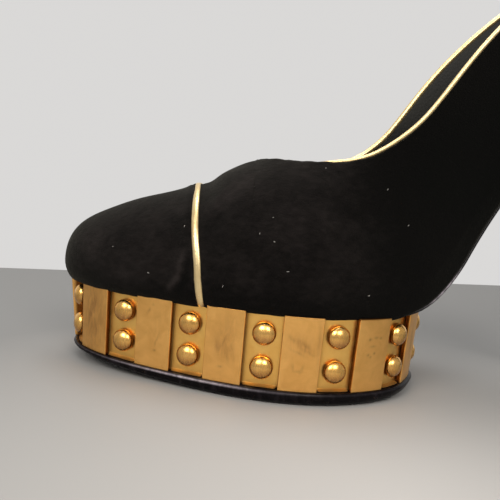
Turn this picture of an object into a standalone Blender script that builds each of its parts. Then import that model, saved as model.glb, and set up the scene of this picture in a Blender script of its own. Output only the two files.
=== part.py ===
"""Platform pump for the right foot: a suede upper on a gold barred platform, with a high slim heel.

Sizes are in millimetres and become metres as each mesh is made. The toe points to -X, the inner
side of the foot to -Y and up is +Z. The origin is on the floor, under the ball of the foot.
"""

import math

import bmesh
import bpy
import mathutils
import numpy as np

MM = 0.001

# Overall sizes
SOLE_LENGTH = 250.0
TOE_X = -78.7
TOE_NOSE_X = -86.2
TOE_NOSE_HEIGHT = 5.6
FOOTBED_Z = 29.6
WALL = 1.8
GAP = 0.3
WELD = 0.01
PATH_SAMPLES = 1001
LOOP_SAMPLES = 401

# Platform, bars and studs
PLATFORM_TIP_X = -80.2
PLATFORM_LENGTH = 128.2
PLATFORM_TOP_Z = 29.25
PLATFORM_BACK_LIFT = 1.0
PLATFORM_BACK_POWER = 4
CORE_CLEARANCE = 0.35
OUTSOLE_THICKNESS = 4.6
OUTSOLE_RIM = 0.7
TOE_SPRING = 1.4
TOE_SPRING_START_X = -25.0
UNDER_TOE_RISE = 4.2
UNDER_TOE_START_X = -15.0
UNDER_BACK_RISE = 1.6
UNDER_BACK_START_X = 20.0
BAR_COUNT = 13
BAR_SEEN = 6
BAR_PITCH = 25.394
BAR_WIDTH = 13.1
BAR_PROUD = 2.0
BAR_FIRST = 14.7
BAR_FLARE = 0.9
TOE_FLARE = 3.0
TOE_FLARE_LOW = 0.43
TOE_FLARE_REACH = 3.0
BAR_STEPS = 6
STUD_RADIUS = 3.7
STUD_HEIGHT = 3.2
STUD_LEVELS = (0.27, 0.73)
STUD_SHIFTS = (0.0, 0.75, 0.7, 0.3, -0.65, 0.0, 0.0, 0.0, 0.0, 0.0, 0.0, 0.0, 0.0)
STUD_SIDES = 14
STUD_RINGS = 8

# Sole and insole plates inside the bottom edge of the upper
SOLE_THICKNESS = 1.5
SOLE_DROP = 0.9
SOLE_DROP_START = 108.0
SOLE_DROP_LENGTH = 14.0
INSOLE_THICKNESS = 2.5
PLATE_INSET = WALL + GAP

# Heel
HEEL_START = 206.0
HEEL_INSET = 0.6
HEEL_TIP_X = 119.0
HEEL_TIP_Y = 4.0
HEEL_TIP_HALF_LENGTH = 6.6
HEEL_TIP_HALF_WIDTH = 6.4
HEEL_TIP_HEIGHT = 5.5
HEEL_TIP_TURN = 0.75 * math.pi
HEEL_LEVELS = 12
HEEL_STEPS = 12
HEEL_NARROWING = 2.6

# Piping
VAMP_PIPING_WIDTH = 2.4
VAMP_PIPING_HEIGHT = 1.3
VAMP_SEAM_START = 0.45
VAMP_SEAM_PROBE = 1.0
VAMP_PIPING_STEPS = 16
VAMP_PIPING_SIDES = 6
TOPLINE_PIPING_RADIUS = 0.9
TOPLINE_PIPING_SIDES = 6
TOPLINE_PIPING_LIFT = 0.35
TOPLINE_PIPING_SINK = 1.2
RIM_PROBE = 1.5
RIM_PROBE_CLIMB = 0.15

# Throat of the upper
THROAT = 62.0
THROAT_LENGTH = 22.0
LEAN_END = 128.0
LEAST_HALF = 0.1

# Mesh rows of the upper
TOE_ROWS = 13
THROAT_ROWS = 9
BACK_ROWS = 20
TUCK_STEPS = 3
WALL_STEPS = 7

# Slope of the sole: distance from the toe, slope in degrees
SLOPE_COLUMNS = ("distance", "slope")
SLOPE_ROWS = (
    (0.0, 0.0),
    (107.6, 0.0),
    (128.5, 46.0),
    (145.5, 63.0),
    (185.0, 59.0),
    (214.0, 30.0),
    (250.0, 19.0),
)

# Bottom edge: distance from the toe, centre line, half widths to the inner and outer side,
# how far the upper bulges beyond its edge, and the height at which it does
EDGE_COLUMNS = ("distance", "centre", "inner", "outer", "bulge", "rise")
EDGE_ROWS = (
    (0.0, 0.0, 0.0, 0.0, 0.0, TOE_NOSE_HEIGHT),
    (2.5, 0.0, 10.0, 9.6, 0.6, 5.7),
    (6.0, 0.0, 14.2, 13.8, 2.3, 5.8),
    (12.0, 0.0, 18.8, 18.8, 3.4, 6.0),
    (22.0, 0.0, 23.8, 24.2, 4.0, 6.4),
    (35.0, 0.0, 28.7, 28.9, 4.0, 7.0),
    (50.0, 0.0, 33.6, 33.0, 3.6, 8.0),
    (62.0, 0.0, 36.6, 35.4, 3.3, 8.0),
    (75.0, 0.0, 38.2, 37.2, 3.0, 8.0),
    (90.0, 0.2, 36.9, 37.4, 2.8, 8.0),
    (106.0, 0.6, 31.8, 34.4, 2.4, 8.0),
    (128.0, 1.2, 26.4, 28.6, 1.8, 7.5),
    (146.0, 2.0, 22.6, 25.4, 1.6, 7.0),
    (166.0, 3.0, 20.6, 23.2, 1.6, 7.5),
    (185.0, 3.5, 20.6, 22.2, 1.7, 8.5),
    (200.0, 4.0, 21.6, 22.2, 1.8, 9.5),
    (214.0, 4.0, 22.8, 22.8, 1.9, 10.5),
    (230.0, 4.0, 22.2, 22.2, 1.9, 11.0),
    (242.0, 4.0, 15.8, 15.8, 1.4, 11.0),
    (248.0, 4.0, 8.3, 8.3, 0.8, 11.0),
    (250.0, 4.0, 0.0, 0.0, 0.0, 11.0),
)

# Vamp seam: climb on the upper's side, distance from the toe
SEAM_COLUMNS = ("climb", "distance")
SEAM_ROWS = (
    (0.0, 47.0),
    (0.34, 46.8),
    (0.5, 46.6),
    (0.8, 45.9),
    (1.05, 44.7),
    (1.25, 43.55),
    (1.6, 42.4),
    (2.0, 41.4),
)

# Top of the upper: distance from the toe of the section's foot, position along the shoe, height,
# offset of its middle, half widths of the opening, roundness of the section, bulge at the back,
# and how much lower the outer side is than the inner one
TOP_COLUMNS = ("distance", "along", "height", "middle", "inner", "outer", "round", "back", "dip")
TOP_ROWS = (
    (0.0, TOE_NOSE_X, FOOTBED_Z + TOE_NOSE_HEIGHT, 0.0, 0.0, 0.0, 2.1, 0.0, 0.0),
    (2.5, -83.2, 46.2, -0.4, 0.0, 0.0, 2.1, 0.0, 0.0),
    (6.0, -78.3, 51.2, -0.8, 0.0, 0.0, 2.1, 0.0, 0.0),
    (12.0, -70.0, 55.8, -1.5, 0.0, 0.0, 2.1, 0.0, 0.0),
    (22.0, -58.4, 60.7, -2.5, 0.0, 0.0, 2.1, 0.0, 0.0),
    (35.0, -44.4, 65.1, -3.5, 2.0, 2.0, 2.1, 0.0, 0.0),
    (50.0, -29.2, 72.7, -4.0, 10.0, 10.0, 2.1, 0.0, 0.0),
    (56.0, -23.4, 76.0, -4.0, 16.0, 16.0, 2.1, 0.0, 0.0),
    (62.0, -18.0, 78.0, -4.0, 19.5, 19.5, 2.1, 0.0, 0.0),
    (75.0, -6.0, 78.7, -3.0, 22.0, 22.0, 2.05, 0.0, 0.0),
    (90.0, 5.0, 78.9, -2.0, 24.0, 24.0, 1.95, 0.0, 0.3),
    (106.0, 15.5, 80.5, -1.0, 25.5, 25.5, 1.8, 0.0, 0.8),
    (128.0, 26.5, 86.2, 0.5, 27.0, 27.0, 1.55, 0.0, 1.5),
    (146.0, 36.5, 95.4, 1.5, 27.5, 27.5, 1.4, 0.0, 2.0),
    (166.0, 48.5, 113.4, 2.5, 27.5, 27.5, 1.3, 0.0, 2.2),
    (185.0, 62.5, 132.0, 3.5, 27.0, 27.0, 1.25, 0.0, 2.2),
    (200.0, 77.5, 147.5, 4.0, 26.0, 26.0, 1.25, 0.0, 2.0),
    (214.0, 92.5, 159.0, 4.0, 24.6, 24.6, 1.25, 0.2, 1.6),
    (230.0, 109.5, 169.8, 4.0, 21.0, 21.0, 1.25, 1.2, 0.8),
    (242.0, 121.3, 176.2, 4.0, 14.2, 14.2, 1.25, 2.4, 0.2),
    (248.0, 126.4, 178.6, 4.0, 7.2, 7.2, 1.25, 3.0, 0.0),
    (250.0, 128.0, 179.3, 4.0, 0.0, 0.0, 1.25, 3.2, 0.0),
)

# Platform outline over the bars: share of its length, half widths to the inner and outer side
PLATFORM_COLUMNS = ("share", "inner", "outer")
PLATFORM_ROWS = (
    (0.0, 0.0, 0.0),
    (0.0141, 8.9, 8.5),
    (0.0359, 13.3, 12.8),
    (0.0647, 16.9, 16.6),
    (0.0976, 20.0, 20.0),
    (0.1698, 24.8, 25.2),
    (0.2459, 28.6, 29.0),
    (0.323, 32.0, 32.0),
    (0.4, 35.1, 34.5),
    (0.4791, 37.8, 36.5),
    (0.5591, 39.5, 38.5),
    (0.6402, 39.7, 39.7),
    (0.7211, 38.2, 39.8),
    (0.7983, 34.9, 38.0),
    (0.8694, 30.0, 33.6),
    (0.9306, 22.9, 25.8),
    (0.9548, 18.2, 20.6),
    (0.9727, 13.9, 15.8),
    (0.9883, 9.6, 11.0),
    (0.9969, 5.4, 6.1),
    (1.0, 0.0, 0.0),
)
PLATFORM_STATIONS = 40


def column(rows, names, name):
    """One named column of a table."""
    return np.array([row[names.index(name)] for row in rows], float)


def spline(xs, ys, x):
    """Natural cubic curve through the points, read at x."""
    count = len(xs)
    step = np.diff(xs)
    matrix = np.eye(count)
    right = np.zeros(count)
    for i in range(1, count - 1):
        matrix[i, i - 1] = step[i - 1]
        matrix[i, i] = 2.0 * (step[i - 1] + step[i])
        matrix[i, i + 1] = step[i]
        right[i] = 6.0 * ((ys[i + 1] - ys[i]) / step[i] - (ys[i] - ys[i - 1]) / step[i - 1])
    bend = np.linalg.solve(matrix, right)
    x = np.clip(np.asarray(x, float), xs[0], xs[-1])
    i = np.clip(np.searchsorted(xs, x) - 1, 0, count - 2)
    after = xs[i + 1] - x
    before = x - xs[i]
    curve = (bend[i] * after**3 + bend[i + 1] * before**3) / (6.0 * step[i])
    first = (ys[i] / step[i] - bend[i] * step[i] / 6.0) * after
    last = (ys[i + 1] / step[i] - bend[i + 1] * step[i] / 6.0) * before
    return curve + first + last


def rounded(share):
    """Maps a share of a length to a turn that makes both ends of an outline round."""
    return np.arccos(1.0 - 2.0 * np.clip(np.asarray(share, float), 0.0, 1.0)) / math.pi


def sole_path():
    """Distance, position, height and slope along the bottom of the upper."""
    distance = np.linspace(0.0, SOLE_LENGTH, PATH_SAMPLES)
    degrees = np.interp(
        distance,
        column(SLOPE_ROWS, SLOPE_COLUMNS, "distance"),
        column(SLOPE_ROWS, SLOPE_COLUMNS, "slope"),
    )
    slope = np.radians(degrees)
    step = np.diff(distance)
    along = TOE_X + np.concatenate([[0.0], np.cumsum(np.cos((slope[1:] + slope[:-1]) / 2.0) * step)])
    height = FOOTBED_Z + np.concatenate([[0.0], np.cumsum(np.sin((slope[1:] + slope[:-1]) / 2.0) * step)])
    return distance, along, height, slope


PATH_DISTANCE, PATH_ALONG, PATH_HEIGHT, PATH_SLOPE = sole_path()


def on_path(distance, offset):
    """Position and height at a distance along the sole, moved off it by an offset upwards."""
    along = np.interp(distance, PATH_DISTANCE, PATH_ALONG)
    height = np.interp(distance, PATH_DISTANCE, PATH_HEIGHT)
    slope = np.interp(distance, PATH_DISTANCE, PATH_SLOPE)
    return along - offset * np.sin(slope), height + offset * np.cos(slope)


def edge(distance, name):
    """A column of the bottom edge, read at a distance from the toe."""
    turn = rounded(column(EDGE_ROWS, EDGE_COLUMNS, "distance") / SOLE_LENGTH)
    return spline(turn, column(EDGE_ROWS, EDGE_COLUMNS, name), rounded(distance / SOLE_LENGTH))


def top(distance, name):
    """A column of the top line, read at a distance from the toe."""
    stations = column(TOP_ROWS, TOP_COLUMNS, "distance")
    values = column(TOP_ROWS, TOP_COLUMNS, name)
    if name == "along":
        return spline(stations, values, distance)
    return spline(rounded(stations / SOLE_LENGTH), values, rounded(distance / SOLE_LENGTH))


def upper_points(distance, climb, side):
    """Points of the outer face at distances from the toe; climb runs from 0 at the bottom edge to 1 at
    the widest line and 2 at the top, and side is -1 on the inner side and +1 on the outer side."""
    distance = np.asarray(distance, float)
    climb = np.asarray(climb, float)
    name = "inner" if side < 0 else "outer"
    foot_along, foot_height = on_path(distance, 0.0)
    half = np.maximum(edge(distance, name), 0.0)
    bulge = edge(distance, "bulge")
    top_along = top(distance, "along")
    top_height = top(distance, "height")
    if side > 0:
        top_height = top_height - np.maximum(top(distance, "dip"), 0.0)
    rise = np.minimum(edge(distance, "rise"), top_height - foot_height)
    widest_height = foot_height + rise
    widest = half + bulge
    opening = np.clip((distance - THROAT) / THROAT_LENGTH, 0.0, 1.0)
    leaning = np.clip((distance - THROAT) / (LEAN_END - THROAT), 0.0, 1.0)
    leaning = leaning * leaning * (3.0 - 2.0 * leaning)
    full_half = np.maximum(top(distance, name), 0.0)
    rim_half = full_half * np.sqrt(1.0 - (1.0 - opening) ** 2)
    base_half = full_half * leaning
    power = 2.0 / top(distance, "round")
    cut = np.clip((rim_half - base_half) / np.maximum(widest - base_half, LEAST_HALF), 0.0, 1.0)
    last_turn = np.arccos(cut ** (1.0 / power))
    last_upward = np.sin(last_turn) ** power
    share = rise / np.maximum(top_height - foot_height, 1.0)
    widest_along = top_along + leaning * (1.0 - share) * (foot_along - top_along)
    tuck = np.clip(climb, 0.0, 1.0) * math.pi / 2.0
    turn = np.clip(climb - 1.0, 0.0, 1.0) * last_turn
    across = np.maximum(np.cos(turn), 0.0) ** power
    upward = np.sin(turn) ** power / last_upward
    middle = edge(distance, "centre") * across + top(distance, "middle") * (1.0 - across)
    width = (half + bulge * np.sin(tuck)) * across + base_half * (1.0 - across)
    along = foot_along + (widest_along - foot_along) * np.sin(tuck) + (top_along - widest_along) * upward
    height = foot_height + rise * (1.0 - np.cos(tuck)) + (top_height - widest_height) * upward
    lifted = np.clip((height - foot_height) / np.maximum(top_height - foot_height, 1.0), 0.0, 1.0)
    along = along + top(distance, "back") * np.sin(math.pi * lifted)
    return np.stack([along, middle + side * width, height], -1)


def plate_outline(distance, inner, outer, inset):
    """Both sides of an outline moved in by an inset, as distances and half widths."""
    sides = []
    for half in (inner, outer):
        tangent_along = np.gradient(distance)
        tangent_out = np.gradient(half)
        tangent_along[half < WELD] = 0.0
        length = np.hypot(tangent_along, tangent_out)
        sides.append((distance + inset * tangent_out / length, half - inset * tangent_along / length))
    return sides


def clear_scene():
    for item in list(bpy.data.objects):
        bpy.data.objects.remove(item, do_unlink=True)


def material(name, colour, roughness, metallic):
    made = bpy.data.materials.new(name)
    made.use_nodes = True
    shader = made.node_tree.nodes["Principled BSDF"]
    shader.inputs["Base Color"].default_value = (*colour, 1.0)
    shader.inputs["Roughness"].default_value = roughness
    shader.inputs["Metallic"].default_value = metallic
    return made


def add_object(name, mesh_data, look, collection):
    """Puts a mesh under a name in the collection, with its material."""
    mesh = bpy.data.meshes.new(name)
    mesh_data.to_mesh(mesh)
    mesh_data.free()
    made = bpy.data.objects.new(name, mesh)
    made.data.materials.append(look)
    collection.objects.link(made)
    return made


def grid_vertices(mesh_data, points):
    return [[mesh_data.verts.new(tuple(np.asarray(point) * MM)) for point in row] for row in points]


def add_faces(mesh_data, corners):
    if len(set(corners)) > 2:
        mesh_data.faces.new(corners)


def strip_faces(mesh_data, rows, flipped):
    for here, there in zip(rows[:-1], rows[1:]):
        for i in range(len(here) - 1):
            corners = [here[i], there[i], there[i + 1], here[i + 1]]
            add_faces(mesh_data, corners[::-1] if flipped else corners)


def solidify(made, thickness, offset):
    shell = made.modifiers.new("Wall", "SOLIDIFY")
    shell.thickness = thickness * MM
    shell.offset = offset
    shell.use_rim = True


def upper_distances():
    """Where the upper's sections stand: close at the toe, behind the throat and at the heel."""
    toe_end = float(rounded(THROAT / SOLE_LENGTH))
    throat_end = THROAT + THROAT_LENGTH
    toe_turns = np.linspace(0.0, toe_end, TOE_ROWS)
    toe = SOLE_LENGTH * (1.0 - np.cos(math.pi * toe_turns)) / 2.0
    throat = THROAT + THROAT_LENGTH * np.linspace(0.0, 1.0, THROAT_ROWS)[1:] ** 2
    back_turns = np.linspace(float(rounded(throat_end / SOLE_LENGTH)), 1.0, BACK_ROWS)[1:]
    back = SOLE_LENGTH * (1.0 - np.cos(math.pi * back_turns)) / 2.0
    return np.concatenate([toe, throat, back])


def upper_climbs():
    tuck = np.linspace(0.0, 1.0, TUCK_STEPS + 1)
    wall = 1.0 + np.linspace(0.0, 1.0, WALL_STEPS + 1)[1:]
    return np.concatenate([tuck, wall])


def make_upper(look, collection):
    """A lasted shell, open at the collar and underneath."""
    distances, climbs = np.meshgrid(upper_distances(), upper_climbs(), indexing="ij")
    mesh_data = bmesh.new()
    for side in (-1, 1):
        rows = grid_vertices(mesh_data, upper_points(distances, climbs, side))
        strip_faces(mesh_data, rows, side > 0)
    bmesh.ops.remove_doubles(mesh_data, verts=mesh_data.verts, dist=WELD * MM)
    made = add_object("upper", mesh_data, look, collection)
    solidify(made, WALL, -1.0)


def make_plate(name, sides, place, thickness, look, collection):
    """A thin plate between two side lines; place turns (distance, half width, side) into points."""
    mesh_data = bmesh.new()
    inner = place(*sides[0], -1)
    outer = place(*sides[1], 1)
    rows = grid_vertices(mesh_data, np.stack([inner, outer], 1))
    strip_faces(mesh_data, rows, False)
    bmesh.ops.remove_doubles(mesh_data, verts=mesh_data.verts, dist=WELD * MM)
    made = add_object(name, mesh_data, look, collection)
    solidify(made, thickness, 1.0)


def sole_drop(distance):
    """How far the sole hangs below the upper's edge: nothing on the platform, a little under the arch."""
    share = np.clip((distance - SOLE_DROP_START) / SOLE_DROP_LENGTH, 0.0, 1.0)
    return SOLE_DROP * share * share * (3.0 - 2.0 * share)


def footbed_place(low):
    def place(distance, half, side):
        along, height = on_path(distance, low - sole_drop(distance))
        centre = edge(distance, "centre")
        return np.stack([along, centre + side * half, height], -1)

    return place


def make_sole_and_insole(sole_look, insole_look, collection):
    distance = upper_distances()
    sides = plate_outline(distance, edge(distance, "inner"), edge(distance, "outer"), PLATE_INSET)
    make_plate("sole", sides, footbed_place(0.0), SOLE_THICKNESS, sole_look, collection)
    insole_low = SOLE_THICKNESS + GAP
    make_plate("insole", sides, footbed_place(insole_low), INSOLE_THICKNESS, insole_look, collection)


def platform_half(share, name):
    turn = rounded(column(PLATFORM_ROWS, PLATFORM_COLUMNS, "share"))
    return spline(turn, column(PLATFORM_ROWS, PLATFORM_COLUMNS, name), rounded(share))


def platform_sides(inset):
    turns = np.linspace(0.0, 1.0, PLATFORM_STATIONS + 1)
    share = (1.0 - np.cos(math.pi * turns)) / 2.0
    along = PLATFORM_TIP_X + PLATFORM_LENGTH * share
    inner = platform_half(share, "inner")
    outer = platform_half(share, "outer")
    return plate_outline(along, inner, outer, inset)


def toe_flare(along):
    """How far the bars' top edges lean out at the toe."""
    return TOE_FLARE * np.exp(-(((along - PLATFORM_TIP_X) / TOE_FLARE_REACH) ** 2))


def toe_spring(along):
    share = np.clip((TOE_SPRING_START_X - along) / (TOE_SPRING_START_X - PLATFORM_TIP_X), 0.0, None)
    return TOE_SPRING * share**2


def platform_low(along):
    return OUTSOLE_THICKNESS + GAP + toe_spring(along)


def platform_high(along):
    share = np.clip(along / (PLATFORM_TIP_X + PLATFORM_LENGTH), 0.0, 1.0)
    return PLATFORM_TOP_Z + PLATFORM_BACK_LIFT * share**PLATFORM_BACK_POWER


def core_high(along):
    """Top of the platform's core, which follows the underside of the sole."""
    under = on_path(PATH_DISTANCE, -sole_drop(PATH_DISTANCE) - CORE_CLEARANCE)
    return np.interp(along, *under)


def outsole_low(along):
    """Height of the outsole's underside: flat under the ball, rising to the toe and to the back."""
    toe = np.clip((UNDER_TOE_START_X - along) / (UNDER_TOE_START_X - PLATFORM_TIP_X), 0.0, None)
    back_length = PLATFORM_TIP_X + PLATFORM_LENGTH - UNDER_BACK_START_X
    back = np.clip((along - UNDER_BACK_START_X) / back_length, 0.0, None)
    return UNDER_TOE_RISE * toe**2 + UNDER_BACK_RISE * back**2


def make_outsole(look, collection):
    """The outsole, a little wider than the platform, and thinner at the toe and at the back."""
    lines = []
    for (along, half), side in zip(platform_sides(-OUTSOLE_RIM), (-1, 1)):
        low = np.stack([along, side * half, outsole_low(along)], -1)
        high = np.stack([along, side * half, OUTSOLE_THICKNESS + toe_spring(along)], -1)
        lines.append((low, high))
    (inner_low, inner_high), (outer_low, outer_high) = lines
    rings = np.stack([inner_low, inner_high, outer_high, outer_low, inner_low], 1)
    mesh_data = bmesh.new()
    strip_faces(mesh_data, grid_vertices(mesh_data, rings), False)
    bmesh.ops.remove_doubles(mesh_data, verts=mesh_data.verts, dist=WELD * MM)
    bmesh.ops.recalc_face_normals(mesh_data, faces=mesh_data.faces)
    add_object("outsole", mesh_data, look, collection)


def platform_loop():
    """The platform's outline from the toe along the inner side and back along the outer side."""
    turns = np.linspace(0.0, 1.0, LOOP_SAMPLES)
    share = (1.0 - np.cos(math.pi * turns)) / 2.0
    along = PLATFORM_TIP_X + PLATFORM_LENGTH * share
    inner = np.stack([along, -platform_half(share, "inner")], -1)
    outer = np.stack([along, platform_half(share, "outer")], -1)
    loop = np.concatenate([inner, outer[::-1][1:]])
    length = np.concatenate([[0.0], np.cumsum(np.linalg.norm(np.diff(loop, axis=0), axis=1))])
    return loop, length


LOOP, LOOP_LENGTH = platform_loop()
FAR_PITCH = (LOOP_LENGTH[-1] - BAR_SEEN * BAR_PITCH) / (BAR_COUNT - BAR_SEEN)


def on_loop(distance, out):
    """Plan points at distances round the platform, moved out by an offset, and the outward directions."""
    reach = LOOP_LENGTH[-1] / len(LOOP) * 2.0

    def at(s):
        s = np.mod(s, LOOP_LENGTH[-1])
        return np.stack([np.interp(s, LOOP_LENGTH, LOOP[:, 0]), np.interp(s, LOOP_LENGTH, LOOP[:, 1])], -1)

    tangent = at(distance + reach) - at(distance - reach)
    tangent = tangent / np.linalg.norm(tangent, axis=-1, keepdims=True)
    outward = np.stack([tangent[..., 1], -tangent[..., 0]], -1)
    return at(distance) + outward * np.asarray(out, float)[..., None], outward


def loft(mesh_data, sections, closed):
    """Joins rings of points with faces: end to end when closed, or else with a cap on both ends."""
    rings = grid_vertices(mesh_data, sections)
    pairs = list(zip(rings[:-1], rings[1:]))
    if closed:
        pairs.append((rings[-1], rings[0]))
    else:
        mesh_data.faces.new(rings[0])
        mesh_data.faces.new(rings[-1])
    for here, there in pairs:
        for i in range(len(here)):
            j = (i + 1) % len(here)
            mesh_data.faces.new((here[i], there[i], there[j], here[j]))
    bmesh.ops.recalc_face_normals(mesh_data, faces=mesh_data.faces)


def wall_ring(distance, inner_out, outer_out):
    """A four-cornered section across the platform's wall, flared towards the top and in front at the toe."""
    plain, _ = on_loop(np.asarray(distance), np.asarray(0.0))
    lean = toe_flare(plain[0])
    corners = (
        (inner_out - BAR_FLARE / 2.0, platform_low),
        (outer_out - BAR_FLARE / 2.0 + lean * TOE_FLARE_LOW, platform_low),
        (outer_out + BAR_FLARE / 2.0 + lean, platform_high),
        (inner_out + BAR_FLARE / 2.0, platform_high),
    )
    ring = []
    for out, level in corners:
        point, _ = on_loop(np.asarray(distance), np.asarray(out))
        ring.append((point[0], point[1], float(level(point[0]))))
    return ring


def make_platform(look, collection):
    """The core of the platform, as a loft from its lower outline to its upper one."""
    mesh_data = bmesh.new()
    low_inner, low_outer = platform_sides(BAR_PROUD + BAR_FLARE / 2.0)
    high_inner, high_outer = platform_sides(BAR_PROUD - BAR_FLARE / 2.0)
    rings = []
    for i in range(1, PLATFORM_STATIONS):
        ring = []
        corners = (
            (low_inner, -1, platform_low),
            (low_outer, 1, platform_low),
            (high_outer, 1, core_high),
            (high_inner, -1, core_high),
        )
        for sides, side, level in corners:
            along = sides[0][i]
            ring.append((along, side * sides[1][i], float(level(along))))
        rings.append(ring)
    loft(mesh_data, rings, False)
    add_object("platform", mesh_data, look, collection)


def bar_start(index):
    """Where a bar begins round the platform; the bars that the photo shows keep its spacing."""
    return BAR_FIRST + min(index, BAR_SEEN) * BAR_PITCH + max(index - BAR_SEEN, 0) * FAR_PITCH


def recess_middle(index):
    """The middle of the recess before a bar."""
    pitch = BAR_PITCH if 0 < index <= BAR_SEEN else FAR_PITCH
    return bar_start(index) - (pitch - BAR_WIDTH) / 2.0


def make_bars(look, collection):
    for index in range(BAR_COUNT):
        mesh_data = bmesh.new()
        stations = bar_start(index) + np.linspace(0.0, BAR_WIDTH, BAR_STEPS + 1)
        rings = [wall_ring(station, GAP - BAR_PROUD, 0.0) for station in stations]
        loft(mesh_data, rings, False)
        add_object(f"bar_{index + 1:02d}", mesh_data, look, collection)


def dome(radius, height):
    """A dome on a flat base, from a ball cut in half and flattened."""
    mesh_data = bmesh.new()
    bmesh.ops.create_uvsphere(mesh_data, u_segments=STUD_SIDES, v_segments=STUD_RINGS, radius=radius * MM)
    everything = mesh_data.verts[:] + mesh_data.edges[:] + mesh_data.faces[:]
    cut = bmesh.ops.bisect_plane(
        mesh_data, geom=everything, dist=WELD * MM, plane_co=(0, 0, 0), plane_no=(0, 0, 1), clear_inner=True
    )
    rim = [item for item in cut["geom_cut"] if isinstance(item, bmesh.types.BMEdge)]
    bmesh.ops.contextual_create(mesh_data, geom=rim)
    bmesh.ops.scale(mesh_data, vec=(1.0, 1.0, height / radius), verts=mesh_data.verts)
    bmesh.ops.recalc_face_normals(mesh_data, faces=mesh_data.faces)
    return mesh_data


def make_studs(look, collection):
    """Two domed studs in each recess between bars."""
    for index in range(BAR_COUNT):
        middle = np.asarray(recess_middle(index) + STUD_SHIFTS[index])
        for level, share in zip("ab", STUD_LEVELS):
            flare = BAR_FLARE * (share - 0.5)
            point, outward = on_loop(middle, np.asarray(GAP - BAR_PROUD + flare))
            low = platform_low(point[0])
            height = low + (platform_high(point[0]) - low) * share
            name = f"stud_{index + 1:02d}{level}"
            made = add_object(name, dome(STUD_RADIUS, STUD_HEIGHT), look, collection)
            made.location = (point[0] * MM, point[1] * MM, float(height) * MM)
            turn = mathutils.Vector((outward[0], outward[1], 0.0)).to_track_quat("Z", "Y")
            made.rotation_euler = turn.to_euler()


def heel_outline():
    """Seat of the heel from the inner front corner round the back, and the matching ring of its tip."""
    turns = np.linspace(float(rounded(HEEL_START / SOLE_LENGTH)), 1.0, HEEL_STEPS + 1)
    distance = SOLE_LENGTH * (1.0 - np.cos(math.pi * turns)) / 2.0
    sides = plate_outline(distance, edge(distance, "inner"), edge(distance, "outer"), HEEL_INSET)
    drop = -SOLE_DROP - GAP
    seat = []
    for (where, half), side in zip(sides, (-1, 1)):
        along, height = on_path(where, drop)
        line = np.stack([along, edge(where, "centre") + side * np.maximum(half, 0.0), height], -1)
        seat.append(line if side < 0 else line[::-1][1:])
    seat = np.concatenate(seat)
    angle = np.linspace(-HEEL_TIP_TURN, HEEL_TIP_TURN, len(seat))
    tip = np.stack(
        [
            HEEL_TIP_X + HEEL_TIP_HALF_LENGTH * np.cos(angle),
            HEEL_TIP_Y + HEEL_TIP_HALF_WIDTH * np.sin(angle),
            np.full(len(seat), HEEL_TIP_HEIGHT + GAP),
        ],
        -1,
    )
    return seat, tip


def make_heel(look, tip_look, collection):
    """A slim heel lofted from the seat to a small tip, and the tip's own lift."""
    seat, tip = heel_outline()
    rings = []
    for level in np.linspace(0.0, 1.0, HEEL_LEVELS + 1):
        drawn_in = 1.0 - (1.0 - level) ** HEEL_NARROWING
        ring = seat + (tip - seat) * drawn_in
        ring[:, 2] = seat[:, 2] + (tip[:, 2] - seat[:, 2]) * level
        rings.append(ring)
    mesh_data = bmesh.new()
    loft(mesh_data, rings, False)
    add_object("heel", mesh_data, look, collection)
    low = tip.copy()
    low[:, 2] = 0.0
    high = tip.copy()
    high[:, 2] = HEEL_TIP_HEIGHT
    lift = bmesh.new()
    loft(lift, [low, high], False)
    add_object("heel_tip", lift, tip_look, collection)


def both_sides(distance, climb):
    """Points of one line up the inner side, over the top and down the outer side."""
    inner = upper_points(distance, climb, -1)
    outer = upper_points(distance, climb, 1)
    return np.concatenate([inner, outer[::-1][1:]])


def make_vamp_piping(look, collection):
    """A half-round piping over the seam across the vamp, from the platform up and over to the far side."""
    climb = np.linspace(VAMP_SEAM_START, 2.0, VAMP_PIPING_STEPS + 1)
    climbs = column(SEAM_ROWS, SEAM_COLUMNS, "climb")
    distance = spline(climbs, column(SEAM_ROWS, SEAM_COLUMNS, "distance"), climb)
    line = both_sides(distance, climb)
    across = line - both_sides(distance - VAMP_SEAM_PROBE, climb)
    across = across / np.linalg.norm(across, axis=1, keepdims=True)
    path = np.gradient(line, axis=0)
    path = path / np.linalg.norm(path, axis=1, keepdims=True)
    outward = np.cross(across, path)
    outward = outward / np.linalg.norm(outward, axis=1, keepdims=True)
    angles = np.linspace(0.0, math.pi, VAMP_PIPING_SIDES)
    rings = []
    for point, side, out in zip(line, across, outward):
        base = point + out * GAP
        sideways = np.cos(angles) * VAMP_PIPING_WIDTH / 2.0
        upwards = np.sin(angles) * VAMP_PIPING_HEIGHT
        rings.append([base + side * s + out * u for s, u in zip(sideways, upwards)])
    mesh_data = bmesh.new()
    loft(mesh_data, rings, False)
    add_object("vamp_piping", mesh_data, look, collection)


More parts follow.
